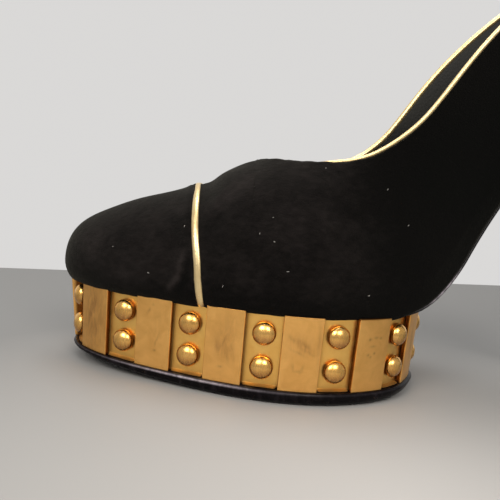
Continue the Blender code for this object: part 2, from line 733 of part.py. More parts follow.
def make_topline_piping(look, collection):
    """A thin cord round the collar, resting on the upper's top edge."""
    distance = upper_distances()
    distance = distance[distance >= THROAT]
    full = np.full(len(distance), 2.0)
    rims = [upper_points(distance, full, side) for side in (-1, 1)]
    behind = [upper_points(distance - RIM_PROBE, full - RIM_PROBE_CLIMB, side) for side in (-1, 1)]
    rim = np.concatenate([rims[0], rims[1][::-1][1:-1]])
    inside = np.concatenate([behind[0], behind[1][::-1][1:-1]])
    path = np.roll(rim, -1, axis=0) - np.roll(rim, 1, axis=0)
    path = path / np.linalg.norm(path, axis=1, keepdims=True)
    away = rim - inside
    away = away - path * np.sum(away * path, axis=1, keepdims=True)
    away = away / np.linalg.norm(away, axis=1, keepdims=True)
    outward = np.cross(path, away)
    loop = rim + away * (TOPLINE_PIPING_RADIUS + TOPLINE_PIPING_LIFT) - outward * TOPLINE_PIPING_SINK
    upright = np.array([0.0, 0.0, 1.0])
    angles = np.linspace(0.0, 2.0 * math.pi, TOPLINE_PIPING_SIDES, endpoint=False)
    rings = []
    for point, forward in zip(loop, path):
        side = np.cross(forward, upright)
        side = side / np.linalg.norm(side)
        up = np.cross(side, forward)
        ring = [math.cos(angle) * side + math.sin(angle) * up for angle in angles]
        rings.append([point + TOPLINE_PIPING_RADIUS * spoke for spoke in ring])
    mesh_data = bmesh.new()
    loft(mesh_data, rings, True)
    add_object("topline_piping", mesh_data, look, collection)


def main():
    clear_scene()
    collection = bpy.data.collections.new("platform_pump")
    bpy.context.scene.collection.children.link(collection)
    suede = material("black_suede", (0.018, 0.017, 0.015), 0.9, 0.0)
    gold = material("gold_plate", (0.62, 0.42, 0.16), 0.32, 1.0)
    gold_leather = material("gold_leather", (0.6, 0.47, 0.22), 0.4, 0.4)
    black_sole = material("black_sole", (0.02, 0.015, 0.02), 0.25, 0.0)
    lining = material("black_lining", (0.03, 0.03, 0.03), 0.6, 0.0)
    rubber = material("heel_rubber", (0.02, 0.02, 0.02), 0.7, 0.0)
    make_upper(suede, collection)
    make_sole_and_insole(black_sole, lining, collection)
    make_platform(gold, collection)
    make_outsole(black_sole, collection)
    make_bars(gold, collection)
    make_studs(gold, collection)
    make_heel(suede, rubber, collection)
    make_vamp_piping(gold_leather, collection)
    make_topline_piping(gold_leather, collection)


main()
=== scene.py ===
"""Looks of the platform pump: black suede upper and heel, gold barred and studded platform, gold piping.

Sizes are in millimetres and become metres as each mesh is made. The toe points to -X, the inner
side of the foot to -Y and up is +Z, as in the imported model.
"""

import math

import bmesh
import bpy
import mathutils
import numpy as np
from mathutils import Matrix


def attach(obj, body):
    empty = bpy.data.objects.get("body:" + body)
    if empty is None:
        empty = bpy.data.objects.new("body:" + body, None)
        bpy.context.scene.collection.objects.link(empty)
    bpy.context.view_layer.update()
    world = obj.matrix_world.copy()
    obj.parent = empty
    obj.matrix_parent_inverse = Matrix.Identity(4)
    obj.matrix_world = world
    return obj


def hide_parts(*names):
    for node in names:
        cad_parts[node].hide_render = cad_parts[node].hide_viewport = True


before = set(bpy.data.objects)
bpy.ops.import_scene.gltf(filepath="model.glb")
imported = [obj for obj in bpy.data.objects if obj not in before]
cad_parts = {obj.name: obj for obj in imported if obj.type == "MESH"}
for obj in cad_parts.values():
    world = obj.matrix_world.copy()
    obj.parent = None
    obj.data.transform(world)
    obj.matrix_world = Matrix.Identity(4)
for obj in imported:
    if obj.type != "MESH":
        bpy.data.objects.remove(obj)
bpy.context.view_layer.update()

BODY = "root"
MM = 0.001
WELD = 0.002
TINY = 1e-9
SIDES = (-1, 1)
SIDE_NAMES = ("inner", "outer")
UP = np.array([0.0, 0.0, 1.0])


def table(columns, rows):
    """Rows of numbers as one array for each named column."""
    return dict(zip(columns.split(), np.array(rows, float).T))


def records(columns, rows):
    """Rows as dictionaries with named entries."""
    return [dict(zip(columns.split(), row)) for row in rows]


# Overall sizes
SOLE_LENGTH = 250.0
TOE_X = -78.7
TOE_NOSE_X = -86.2
TOE_NOSE_HEIGHT = 5.6
FOOTBED_Z = 29.6
SUEDE_WALL = 1.0
LINING_WALL = 0.7
LINING_OFFSET = 1.05
GAP = 0.3
PATH_SAMPLES = 1001
LOOP_SAMPLES = 401
TANGENT_STEPS = 2.0
BEVEL_SEGMENTS = 3

# Platform, bars and studs
PLATFORM_TIP_X = -80.2
PLATFORM_LENGTH = 128.2
PLATFORM_TOP_Z = 29.25
PLATFORM_BACK_LIFT = 1.0
PLATFORM_BACK_POWER = 4
PLATFORM_STATIONS = 120
OUTSOLE_THICKNESS = 4.6
WALL_HEIGHT = PLATFORM_TOP_Z - OUTSOLE_THICKNESS
OUTSOLE_SINK = 0.3
TOE_SPRING = 1.4
TOE_SPRING_START_X = -25.0
UNDER_TOE_RISE = 4.2
UNDER_TOE_START_X = -15.0
UNDER_BACK_RISE = 1.6
UNDER_BACK_START_X = 20.0
BAR_COUNT = 13
BAR_SEEN = 6
BAR_PITCH = 25.394
BAR_WIDTH = 13.1
BAR_PROUD = 2.0
BAR_FIRST = 14.7
BAR_FLARE = 0.9
TOE_FLARE = 3.0
TOE_FLARE_LOW = 0.43
TOE_FLARE_REACH = 3.0
BAR_ACROSS = 42
BAR_UP = 76
BAR_BEVEL = 0.28
BAR_FOOT = -0.028
# Painted shade along the top edge of the bars' faces, under the suede: its strength, and its reach as a
# share of the height
BAR_TOP_SHADE = 0.35
BAR_TOP_REACH = 0.03
PANEL_LEDGE = -0.35
PANEL_THICKNESS = 0.6
PANEL_STATIONS = 640
PANEL_ROWS = 24
PANEL_BEVEL = 0.12
PANEL_FOOT = 1.4
PANEL_FOOT_HEIGHT = 0.4
PANEL_FOOT_BLEND = 1.0
# Darkening of the gold sheet: part soiling and part painted shade along its foot, painted shade in the
# corner after each bar and in the recess at the toe
FOOT_GRIME_AND_SHADE_HEIGHT = 0.7
FOOT_GRIME_AND_SHADE = 0.95
CORNER_SHADE = 0.85
CORNER_REACH = 0.7
TOE_SHADE = 0.85
TOE_SHADE_REACH = 5.0
CORE_INSET = 2.9
CORE_CLEARANCE = 0.35
STUD_RADIUS = 3.88
STUD_HEIGHT = 3.2
STUD_LEVELS = (0.27, 0.73)
STUD_SHIFTS = {1: 0.7, 2: 0.2, 3: 0.2, 4: -0.4}
STUD_DROPS = {1: (0.15, 0.5), 2: (0.4, 0.65), 3: (0.4, 0.25), 4: (0.25, -0.2)}
STUD_SEGMENTS = 44
# Reach of the painted shade round a stud's foot, and where the painted shade on its lower half starts
STUD_FOOT_REACH = 0.4
STUD_LOW_SHADE_START = 0.35

# Sole and insole plates
SOLE_DROP = 0.9
SOLE_DROP_START = 108.0
SOLE_DROP_LENGTH = 14.0
PLATE_STATIONS = 150
LIP_START = 112.0
LIP_END = 210.0
# Painted highlight on the sole's lip: where it starts and ends, the row of the lip's edge it follows,
# its width
LIP_SHINE_START = 122.0
LIP_SHINE_END = 142.0
LIP_SHINE_ROW = 3
LIP_SHINE_WIDTH = 0.4

# Heel
HEEL_START = 206.0
HEEL_INSET = 0.6
HEEL_RAISE = 1.05
HEEL_TIP_X = 119.0
HEEL_TIP_Y = 4.0
HEEL_TIP_HALF_LENGTH = 6.6
HEEL_TIP_HALF_WIDTH = 6.4
HEEL_TIP_HEIGHT = 5.5
HEEL_TIP_TURN = 0.75 * math.pi
HEEL_LEVELS = 60
HEEL_STEPS = 70
HEEL_NARROWING = 2.6
HEEL_RING = 160
HEEL_SMOOTHING = 2.2
HEEL_SMOOTHING_REACH = 6

# Climb up the upper's side runs from 0 at the bottom edge to 1 at the widest line and 2 at the top
TOP_CLIMB = 2.0

# Piping and seams
VAMP_PIPING_WIDTH = 2.5
VAMP_PIPING_TAPER = 0.16
VAMP_PIPING_TAPER_END = 0.8
VAMP_PIPING_HEIGHT = 0.4
VAMP_PIPING_SINK = 0.4
VAMP_PIPING_TOP_SINK = 0.2
VAMP_PIPING_STEPS = 150
VAMP_PIPING_SIDES = 15
VAMP_SEAM_START = 0.26
SEAM_CLIMBS = np.linspace(VAMP_SEAM_START, TOP_CLIMB, VAMP_PIPING_STEPS)
VAMP_SEAM_PROBE = 0.6
VAMP_PIPING_WAVE = 0.04
VAMP_PIPING_WAVE_SIZE = 4.0
TOPLINE_PIPING_RADIUS = 0.8
FAR_PIPING_SWELL = 0.45
FAR_PIPING_BLEND = 20.0
TOPLINE_PIPING_SIDES = 14
TOPLINE_PIPING_LIFT = 0.1
TOPLINE_PIPING_SINK = 1.2
TOPLINE_PIPING_WAVE = 0.05
TOPLINE_PIPING_WAVE_SIZE = 5.0
THROAT_PIPING_DROP = 2.2
THROAT_PIPING_HIDDEN = 72.0
THROAT_PIPING_SHOWN = 96.0
RIM_PROBE = 1.5
RIM_PROBE_CLIMB = 0.15

# Throat of the upper
THROAT = 62.0
THROAT_LENGTH = 22.0
LEAN_END = 128.0
LEAST_HALF = 0.1
LEAST_HEIGHT = 1.0

# Sections of the upper, its lining and the collar cord: before the throat, behind it and further back;
# steps up the side: below the widest line and above it
UPPER_SECTIONS = (140, 40, 150)
UPPER_CLIMBS = (9, 42)
LINING_SECTIONS = (60, 24, 90)
LINING_CLIMBS = (5, 24)
CORD_SECTIONS = (2, 60, 170)

# Suede: seam grooves, the bend at the vamp seam, unevenness, sag over the bars, painted shade low down
SEAM_GROOVE = 0.35
SEAM_GROOVE_WIDTH = 0.7
SEAM_EDGE_GAP = 0.25
SEAM_EDGE = VAMP_PIPING_WIDTH / 2.0 + SEAM_EDGE_GAP
BEND_DIP = 1.15
BEND_DIP_BEHIND = 4.6
BEND_DIP_WIDTH = 4.0
BEND_RIDGE = 0.6
BEND_RIDGE_AHEAD = 1.2
BEND_RIDGE_WIDTH = 1.9
BEND_CLIMB = 1.4
BEND_BLEND = 0.4
BACK_SEAM_GROOVE = 0.35
BACK_SEAM_WIDTH = 0.8
BACK_SEAM_START = 225.0
BACK_SEAM_BLEND = 15.0
RIM_WAVE = 0.3
RIM_WAVE_SIZE = 2.4
RIM_WAVE_REACH = 0.2
SOFTNESS = 0.14
SOFTNESS_SIZE = 16.0
SOFTNESS_CLIMB = 0.6
SAG = 1.25
TOE_SAG = 0.65
TOE_SAG_FULL = 48.0
TOE_SAG_END = 68.0
SAG_WAVE = 0.2
SAG_WAVE_SIZE = 4.0
SAG_CLIMB_FULL = 0.4
SAG_CLIMB_END = 1.1
SAG_FULL = 108.0
SAG_END = 124.0
LOW_SHADE = 0.6
LOW_SHADE_CLIMB = 1.25

# Colours as linear red, green and blue, and how much the two polished soles shine and are coated
SUEDE_DARK = (0.0022, 0.0018, 0.0017)
SUEDE_PALE = (0.024, 0.0195, 0.0185)
# Colour of the painted shade on the suede
SUEDE_SHADE = (0.0014, 0.0015, 0.0014)
FIBRE_DARK = (0.0018, 0.0015, 0.0014)
FIBRE_PALE = (0.0078, 0.0066, 0.006)
LINING_DARK = (0.008, 0.008, 0.007)
LINING_PALE = (0.022, 0.0215, 0.0185)
BAR_DARK = (0.85, 0.45, 0.125)
BAR_PALE = (0.97, 0.55, 0.17)
BAR_STAIN = (0.3, 0.15, 0.055)
# Painted shade on the bars' side walls
BAR_WALL_SHADE = (0.17, 0.06, 0.011)
PANEL_DARK = (0.9, 0.5, 0.125)
PANEL_PALE = (0.98, 0.6, 0.17)
# Soiling and painted shade on the gold sheet
PANEL_GRIME_AND_SHADE = (0.14, 0.06, 0.016)
STUD_DARK = (0.86, 0.47, 0.125)
STUD_PALE = (0.97, 0.58, 0.18)
# Painted shade on the studs: browner on the lower half, dark round the foot
STUD_LOW_SHADE = (0.52, 0.25, 0.095)
STUD_FOOT_SHADE = (0.16, 0.06, 0.012)
LEATHER_DARK = (0.78, 0.57, 0.27)
LEATHER_PALE = (0.88, 0.69, 0.37)
SOLE_BLACK = (0.003, 0.0022, 0.0028)
SOLE_SCUFFED = (0.018, 0.014, 0.017)
# Painted highlight on the soles' edges
SOLE_HIGHLIGHT = (0.42, 0.37, 0.42)
RUBBER_DARK = (0.008, 0.008, 0.008)
RUBBER_PALE = (0.022, 0.022, 0.023)
LINT_DARK = (0.2, 0.19, 0.18)
LINT_PALE = (0.5, 0.48, 0.45)
# Floor colours inside and outside its painted pool of light
FLOOR_LIT = (0.46, 0.446, 0.432)
FLOOR_UNLIT = (0.205, 0.205, 0.203)
OUTSOLE_POLISH = (0.06, 0.04)
SOLE_POLISH = (0.15, 0.12)

# Painted highlight line on the outsole's rim: its level and width as shares, its middle and reach
RIM_LEVEL = 0.88
RIM_WIDTH = 0.055
RIM_X = -36.0
RIM_REACH = 20.0
RIM_LEAST = 0.03

# Floor: middle and size of its painted pool of light, and its corners; its far edge is where the photo's
# floor ends
FLOOR_POOL_CENTRE = (0.02, -0.1, 0.0)
FLOOR_POOL_REACH = 0.17
FLOOR_LEVEL = -0.0002
FLOOR_CORNERS = ((-3.921, -1.139), (-4.0, -4.0), (4.0, -4.0), (3.942, 1.57))

# Lights: name, place, size and power in metres and watts, warmth of the colour
LIGHTS = records("name place size power colour", (
    ("left_box", (-0.4, -0.62, 0.6), 0.42, 4.7, (1.0, 0.96, 0.9)),
    ("right_box", (0.26, -0.68, 0.58), 0.36, 3.4, (1.0, 0.96, 0.9)),
    ("top_box", (-0.1, 0.18, 1.0), 0.6, 5.0, (1.0, 0.98, 0.95)),
))
LIGHT_TARGET = (0.0, 0.0, 0.05)

# Surroundings: brightness towards the camera side and behind the shoe
WORLD_FRONT = (0.43, 0.415, 0.4, 1.0)
WORLD_BACK = (0.7, 0.69, 0.68, 1.0)
WORLD_BACK_START = 0.5

# Camera and picture
CAMERA_PLACE = (-21.06, -219.3, 70.18)
CAMERA_AZIMUTH = -1.0
CAMERA_ELEVATION = 6.74
CAMERA_ROLL = 5.444
CAMERA_FOCAL = 579.58
CLIP_START = 0.01
IMAGE_WIDTH = 500.0
SENSOR_WIDTH = 36.0

# Slope of the sole: distance from the toe, slope in degrees
SLOPE = table("distance slope", (
    (0.0, 0.0), (107.6, 0.0), (128.5, 46.0), (145.5, 63.0), (185.0, 59.0), (214.0, 30.0),
    (250.0, 19.0),
))

# Bottom edge: distance from the toe, centre line, half widths to the inner and outer side,
# how far the upper bulges beyond its edge, and the height at which it does
EDGE = table("distance centre inner outer bulge rise", (
    (0.0, 0.0, 0.0, 0.0, 0.0, TOE_NOSE_HEIGHT),
    (2.5, 0.0, 10.0, 9.6, 0.6, 5.7),
    (6.0, 0.0, 14.2, 13.8, 2.3, 5.8),
    (12.0, 0.0, 18.8, 18.8, 3.4, 6.0),
    (22.0, 0.0, 23.8, 24.2, 4.0, 6.4),
    (35.0, 0.0, 28.7, 28.9, 4.0, 7.0),
    (50.0, 0.0, 33.6, 33.0, 3.6, 8.0),
    (62.0, 0.0, 36.6, 35.4, 3.3, 8.0),
    (75.0, 0.0, 38.2, 37.2, 3.0, 8.0),
    (90.0, 0.2, 36.9, 37.4, 2.8, 8.0),
    (106.0, 0.6, 31.8, 34.4, 2.4, 8.0),
    (128.0, 1.2, 26.4, 28.6, 1.8, 7.5),
    (146.0, 2.0, 22.6, 25.4, 1.6, 7.0),
    (166.0, 3.0, 20.6, 23.2, 1.6, 7.5),
    (185.0, 3.5, 20.6, 22.2, 1.7, 8.5),
    (200.0, 4.0, 21.6, 22.2, 1.8, 9.5),
    (214.0, 4.0, 22.8, 22.8, 1.9, 10.5),
    (230.0, 4.0, 22.2, 22.2, 1.9, 11.0),
    (242.0, 4.0, 15.8, 15.8, 1.4, 11.0),
    (248.0, 4.0, 8.3, 8.3, 0.8, 11.0),
    (250.0, 4.0, 0.0, 0.0, 0.0, 11.0),
))

# Top of the upper: distance from the toe of the section's foot, position along the shoe, height,
# offset of its middle, half width of the opening, roundness of the section, bulge at the back,
# and how much lower the outer side is than the inner one
TOP = table("distance along height middle half round back dip", (
    (0.0, TOE_NOSE_X, FOOTBED_Z + TOE_NOSE_HEIGHT, 0.0, 0.0, 2.1, 0.0, 0.0),
    (2.5, -83.2, 46.2, -0.4, 0.0, 2.1, 0.0, 0.0),
    (6.0, -78.3, 51.2, -0.8, 0.0, 2.1, 0.0, 0.0),
    (12.0, -70.0, 55.8, -1.5, 0.0, 2.1, 0.0, 0.0),
    (22.0, -58.4, 60.7, -2.5, 0.0, 2.1, 0.0, 0.0),
    (35.0, -44.4, 65.1, -3.5, 2.0, 2.1, 0.0, 0.0),
    (50.0, -29.2, 72.7, -4.0, 10.0, 2.1, 0.0, 0.0),
    (56.0, -23.4, 76.0, -4.0, 16.0, 2.1, 0.0, 0.0),
    (62.0, -18.0, 78.0, -4.0, 19.5, 2.1, 0.0, 0.0),
    (75.0, -6.0, 78.7, -3.0, 22.0, 2.05, 0.0, 0.0),
    (90.0, 5.0, 78.9, -2.0, 24.0, 1.95, 0.0, 0.3),
    (106.0, 15.5, 80.5, -1.0, 25.5, 1.8, 0.0, 0.8),
    (128.0, 26.5, 86.2, 0.5, 27.0, 1.55, 0.0, 1.5),
    (146.0, 36.5, 95.4, 1.5, 27.5, 1.4, 0.0, 2.0),
    (166.0, 48.5, 113.4, 2.5, 27.5, 1.3, 0.0, 2.2),
    (185.0, 62.5, 132.0, 3.5, 27.0, 1.25, 0.0, 2.2),
    (200.0, 77.5, 147.5, 4.0, 26.0, 1.25, 0.0, 2.0),
    (214.0, 92.5, 159.0, 4.0, 24.6, 1.25, 0.2, 1.6),
    (230.0, 109.5, 169.8, 4.0, 21.0, 1.25, 1.2, 0.8),
    (242.0, 121.3, 176.2, 4.0, 14.2, 1.25, 2.4, 0.2),
    (248.0, 126.4, 178.6, 4.0, 7.2, 1.25, 3.0, 0.0),
    (250.0, 128.0, 179.3, 4.0, 0.0, 1.25, 3.2, 0.0),
))

# Vamp seam: climb on the upper's side, distance from the toe
SEAM = table("climb distance", (
    (0.0, 47.0), (0.34, 46.8), (0.5, 46.6), (0.8, 45.9), (1.05, 45.05), (1.25, 43.35), (1.6, 41.65),
    (2.0, 40.2),
))

# Platform outline over the bars: share of its length, half widths to the inner and outer side
PLATFORM = table("share inner outer", (
    (0.0, 0.0, 0.0), (0.0141, 8.9, 8.5), (0.0359, 13.3, 12.8), (0.0647, 16.9, 16.6),
    (0.0976, 20.0, 20.0), (0.1698, 24.8, 25.2), (0.2459, 28.6, 29.0), (0.323, 32.0, 32.0),
    (0.4, 35.1, 34.5), (0.4791, 37.8, 36.5), (0.5591, 39.5, 38.5), (0.6402, 39.7, 39.7),
    (0.7211, 38.2, 39.8), (0.7983, 34.9, 38.0), (0.8694, 30.0, 33.6), (0.9306, 22.9, 25.8),
    (0.9548, 18.2, 20.6), (0.9727, 13.9, 15.8), (0.9883, 9.6, 11.0), (0.9969, 5.4, 6.1),
    (1.0, 0.0, 0.0),
))

# Edge of the outsole from its underside to its top: inset from the outline, share of the thickness;
# edges of the other plates in the same order: inset, level
OUTSOLE_EDGE = (
    (2.5, 0.0), (0.9, 0.03), (0.2, 0.12), (-0.35, 0.3), (-0.62, 0.52), (-0.7, 0.7), (-0.68, 0.75),
    (-0.4, 0.88), (-0.26, 0.94), (0.2, 1.0), (3.2, 1.0),
)
SOLE_EDGE = ((2.6, 0.0), (2.1, 0.3), (2.1, 1.2), (2.6, 1.5))
LIP_EDGE = ((1.6, -0.35), (0.75, -0.3), (0.35, -0.05), (0.2, 0.3), (0.35, 0.65), (0.9, 0.85))
INSOLE_EDGE = ((2.5, 1.8), (2.15, 2.1), (2.15, 3.8), (2.45, 4.2), (3.2, 4.32))
HEEL_TIP_EDGE = ((0.5, 0.0), (0.1, 0.12), (0.0, 0.5), (0.0, 5.1), (0.12, 5.4), (0.5, 5.55))

# Profile of a stud: share of its radius, share of its height
STUD_PROFILE = ((0.0, 0.0), (0.9, 0.0), (0.9, 0.09), (0.97, 0.11), (1.0, 0.17))
STUD_DOME_RINGS = 12

# Soft creases of the upper: side, distance and climb of both ends, half width, depth (a ridge above 0)
BAND_COLUMNS = "side from_distance from_climb to_distance to_climb width strength"
CREASES = records(BAND_COLUMNS, (
    (-1, 40.2, 1.2, 35.6, 0.66, 1.3, 0.34),
    (-1, 41.9, 1.14, 38.4, 0.62, 1.4, -0.34),
    (-1, 33.4, 1.2, 28.6, 0.98, 1.5, 0.16),
    (-1, 37.0, 1.3, 31.6, 0.9, 1.6, -0.18),
    (-1, 49.6, 1.62, 46.6, 1.36, 1.8, 0.26),
    (-1, 53.5, 1.58, 49.2, 1.22, 2.2, -0.28),
    (-1, 66.0, 1.75, 57.5, 1.36, 2.6, 0.22),
    (-1, 72.0, 1.66, 62.5, 1.2, 2.8, -0.26),
    (-1, 96.0, 1.8, 84.0, 1.26, 3.2, -0.22),
    (-1, 122.0, 1.62, 104.0, 1.1, 3.6, -0.24),
    (1, 39.0, 1.3, 34.0, 0.7, 1.5, 0.3),
    (1, 41.5, 1.22, 37.5, 0.66, 1.5, -0.32),
    (1, 54.0, 1.6, 49.0, 1.2, 2.2, -0.28),
    (1, 70.0, 1.7, 60.0, 1.22, 2.8, -0.28),
    (1, 94.0, 1.8, 82.0, 1.2, 3.2, -0.24),
    (1, 120.0, 1.6, 102.0, 1.1, 3.6, -0.24),
))
BAND_SAMPLES = 24

# Paler brushed places in the suede, and darker ones below 0 that are painted shade: side, distance,
# climb, radius, strength
NAP_AND_SHADE_SPOTS = records("side distance climb radius strength", (
    (-1, 10.0, 1.22, 5.5, 0.6),
    (-1, 24.0, 1.05, 6.0, 0.2),
    (-1, 33.0, 1.1, 7.0, 0.35),
    (-1, 86.0, 1.7, 12.0, 0.2),
    (-1, 100.0, 1.1, 9.0, 0.25),
    # These darker spots further back are painted shade on the inner quarter
    (-1, 118.0, 1.1, 16.0, -0.35),
    (-1, 146.0, 1.42, 26.0, -0.8),
    (-1, 165.0, 1.15, 24.0, -0.6),
    (-1, 190.0, 1.4, 30.0, -0.7),
    (1, 11.0, 1.3, 7.0, 0.4),
    (1, 40.0, 1.2, 7.0, 0.35),
    (1, 70.0, 1.5, 12.0, 0.3),
))

# Paler and darker bands in the suede, brushed ones and painted highlight and shade along the creases by
# the vamp seam: side, distance and climb of both ends, half width, strength
BRUSHED_AND_CREASE_LIGHT_BANDS = records(BAND_COLUMNS, (
    # Painted highlight on the crease ridge and painted shade in the crease trough beside the vamp seam
    (-1, 40.4, 1.22, 35.4, 0.6, 0.9, 1.6),
    (-1, 42.4, 1.2, 39.6, 0.55, 1.2, -0.7),
    (-1, 43.8, 1.4, 63.0, 1.68, 3.4, 0.55),
    (-1, 30.0, 1.62, 41.0, 1.5, 2.6, 0.25),
    (-1, 14.0, 1.0, 24.0, 0.95, 2.0, 0.25),
    (-1, 56.0, 1.2, 62.0, 0.9, 2.2, 0.2),
    (-1, 84.0, 1.5, 108.0, 1.42, 2.6, 0.2),
    # Painted highlight on the crease ridge beside the vamp seam on the outer side
    (1, 40.0, 1.25, 34.0, 0.6, 1.0, 0.8),
    (1, 44.0, 1.4, 62.0, 1.66, 3.4, 0.5),
))

# Bits of lint on the inner side: distance, climb, length, turn in degrees
LINT = records("distance climb length turn", (
    (39.4, 1.36, 0.7, 80.0), (17.0, 1.22, 0.5, 20.0), (29.4, 1.02, 0.8, -10.0),
    (53.9, 0.9, 0.8, 70.0), (64.9, 1.29, 0.6, 85.0), (68.9, 1.42, 0.6, 30.0),
    (69.9, 1.27, 0.6, -20.0), (123.8, 1.38, 0.8, -15.0), (89.3, 1.92, 0.5, 10.0),
    (105.3, 0.95, 0.7, 30.0), (118.3, 1.67, 0.5, 40.0), (75.3, 1.11, 0.9, 12.0),
))
LINT_RADIUS = 0.1
LINT_SIDES = 7
LINT_STEPS = 7
LINT_LIFT = 0.15
LINT_ARCH = 1.6
LINT_SINK = 0.9
LINT_END = 0.55
LINT_PROBE = 0.5
LINT_PROBE_CLIMB = 0.02

# Stains on the bars: bar, place across and up as shares, half width, half height, lean, strength
STAINS = records("bar across up half_width half_height lean strength", (
    (1, 0.46, 0.68, 0.8, 4.2, -15.0, 0.85),
    (1, 0.6, 0.72, 0.5, 2.2, -10.0, 0.4),
    (1, 0.36, 0.5, 0.7, 3.0, -12.0, 0.5),
    (1, 0.5, 0.5, 8.0, 18.0, 0.0, 0.75),
    (1, 0.62, 0.3, 0.6, 2.6, -5.0, 0.4),
    (2, 0.37, 0.79, 0.45, 1.1, -25.0, 0.8),
    (2, 0.48, 0.88, 0.5, 0.5, 0.0, 0.35),
    (2, 0.62, 0.38, 0.4, 2.6, -18.0, 0.5),
    (2, 0.58, 0.235, 0.5, 0.4, 0.0, 0.75),
    (2, 0.64, 0.58, 3.4, 9.0, -6.0, 0.2),
    (3, 0.58, 0.66, 4.4, 7.0, 0.0, 0.4),
    (3, 0.5, 0.42, 3.4, 4.6, 12.0, 0.3),
    (3, 0.74, 0.4, 0.6, 3.2, 18.0, 0.35),
    (3, 0.6, 0.36, 0.5, 2.8, 22.0, 0.3),
    (3, 0.34, 0.44, 0.7, 2.8, 8.0, 0.4),
    (3, 0.5, 0.55, 0.6, 2.4, -25.0, 0.3),
    (3, 0.45, 0.19, 0.7, 0.4, 0.0, 0.8),
    (4, 0.48, 0.62, 4.6, 3.8, 0.0, 0.42),
    (4, 0.28, 0.68, 0.6, 2.6, 50.0, 0.4),
    (4, 0.55, 0.63, 0.7, 3.0, 56.0, 0.45),
    (4, 0.66, 0.53, 0.6, 2.6, 62.0, 0.45),
    (4, 0.4, 0.52, 0.5, 2.2, 66.0, 0.4),
    (4, 0.32, 0.32, 0.5, 1.4, 10.0, 0.45),
    (4, 0.55, 0.29, 0.5, 1.6, -15.0, 0.4),
    (4, 0.45, 0.26, 1.4, 0.5, 0.0, 0.35),
    (4, 0.92, 0.62, 0.7, 7.5, 4.0, 0.45),
    (5, 0.37, 0.72, 0.55, 0.5, 0.0, 1.0),
    (5, 0.55, 0.74, 0.9, 0.4, -5.0, 0.65),
    (5, 0.7, 0.73, 0.5, 0.35, 0.0, 0.55),
    (5, 0.48, 0.62, 1.2, 0.4, 0.0, 0.5),
    (5, 0.36, 0.5, 0.42, 0.42, 0.0, 0.75),
    (5, 0.55, 0.52, 0.42, 0.42, 0.0, 0.8),
    (5, 0.44, 0.47, 0.45, 0.35, 0.0, 0.65),
    (6, 0.5, 0.5, 2.6, 6.0, 12.0, 0.5),
    (7, 0.4, 0.55, 2.8, 5.0, 20.0, 0.5),
    (8, 0.6, 0.45, 2.6, 6.0, -15.0, 0.6),
    (9, 0.45, 0.6, 3.2, 5.0, 25.0, 0.6),
    (10, 0.55, 0.4, 2.4, 6.0, -10.0, 0.5),
    (11, 0.4, 0.5, 3.0, 5.0, 15.0, 0.6),
    (12, 0.6, 0.6, 2.6, 4.5, -20.0, 0.6),
    (13, 0.5, 0.45, 2.4, 6.0, 8.0, 0.5),
))


# Shape of the shoe


def spline(xs, ys, x):
    """Natural cubic curve through the points, read at x."""
    step = np.diff(xs)
    beside = np.diag(step[1:-1], 1)
    matrix = np.diag(2.0 * (step[:-1] + step[1:])) + beside + beside.T
    bend = np.pad(np.linalg.solve(matrix, 6.0 * np.diff(np.diff(ys) / step)), 1)
    x = np.clip(np.asarray(x, float), xs[0], xs[-1])
    i = np.clip(np.searchsorted(xs, x) - 1, 0, len(step) - 1)
    after = xs[i + 1] - x
    before = x - xs[i]
    curve = (bend[i] * after**3 + bend[i + 1] * before**3) / (6.0 * step[i])
    first = (ys[i] / step[i] - bend[i] * step[i] / 6.0) * after
    last = (ys[i + 1] / step[i] - bend[i + 1] * step[i] / 6.0) * before
    return curve + first + last


def smooth(share):
    """Eases a share from 0 to 1."""
    share = np.clip(share, 0.0, 1.0)
    return share * share * (3.0 - 2.0 * share)


def fade_out(value, full, end):
    """1 up to one value, easing to 0 at another."""
    return 1.0 - smooth((value - full) / (end - full))


def bell(gap, width):
    """1 where the gap is 0, falling off over a width on both sides."""
    return np.exp(-((gap / width) ** 2))


def upturn(along, start, end):
    """0 up to a start, then bending up to 1 at an end."""
    return np.clip((along - start) / (end - start), 0.0, None) ** 2


def unit(vectors):
    return vectors / np.maximum(np.linalg.norm(vectors, axis=-1, keepdims=True), TINY)


def lengths_along(line):
    """How far the points of a line lie from its start, measured along it."""
    return np.concatenate([[0.0], np.cumsum(np.linalg.norm(np.diff(line, axis=0), axis=1))])


def there_and_back(first, second):
    """One line, and then another one backwards from where they meet."""
    return np.concatenate([first, second[::-1][1:]])


def rounded(share):
    """Maps a share of a length to a turn that makes both ends of an outline round."""
    return np.arccos(1.0 - 2.0 * np.clip(np.asarray(share, float), 0.0, 1.0)) / math.pi


def unrounded(turn):
    return (1.0 - np.cos(math.pi * turn)) / 2.0


def stations(first, last, count):
    """Distances from the toe, closer together towards the toe and the heel."""
    turns = np.linspace(rounded(first / SOLE_LENGTH), rounded(last / SOLE_LENGTH), count)
    return SOLE_LENGTH * unrounded(turns)


def sole_path():
    """Distance, position, height and slope along the bottom of the upper."""
    distance = np.linspace(0.0, SOLE_LENGTH, PATH_SAMPLES)
    slope = np.radians(np.interp(distance, SLOPE["distance"], SLOPE["slope"]))
    middle = (slope[1:] + slope[:-1]) / 2.0
    step = np.diff(distance)
    along = TOE_X + np.concatenate([[0.0], np.cumsum(np.cos(middle) * step)])
    height = FOOTBED_Z + np.concatenate([[0.0], np.cumsum(np.sin(middle) * step)])
    return distance, along, height, slope


PATH_DISTANCE, PATH_ALONG, PATH_HEIGHT, PATH_SLOPE = sole_path()


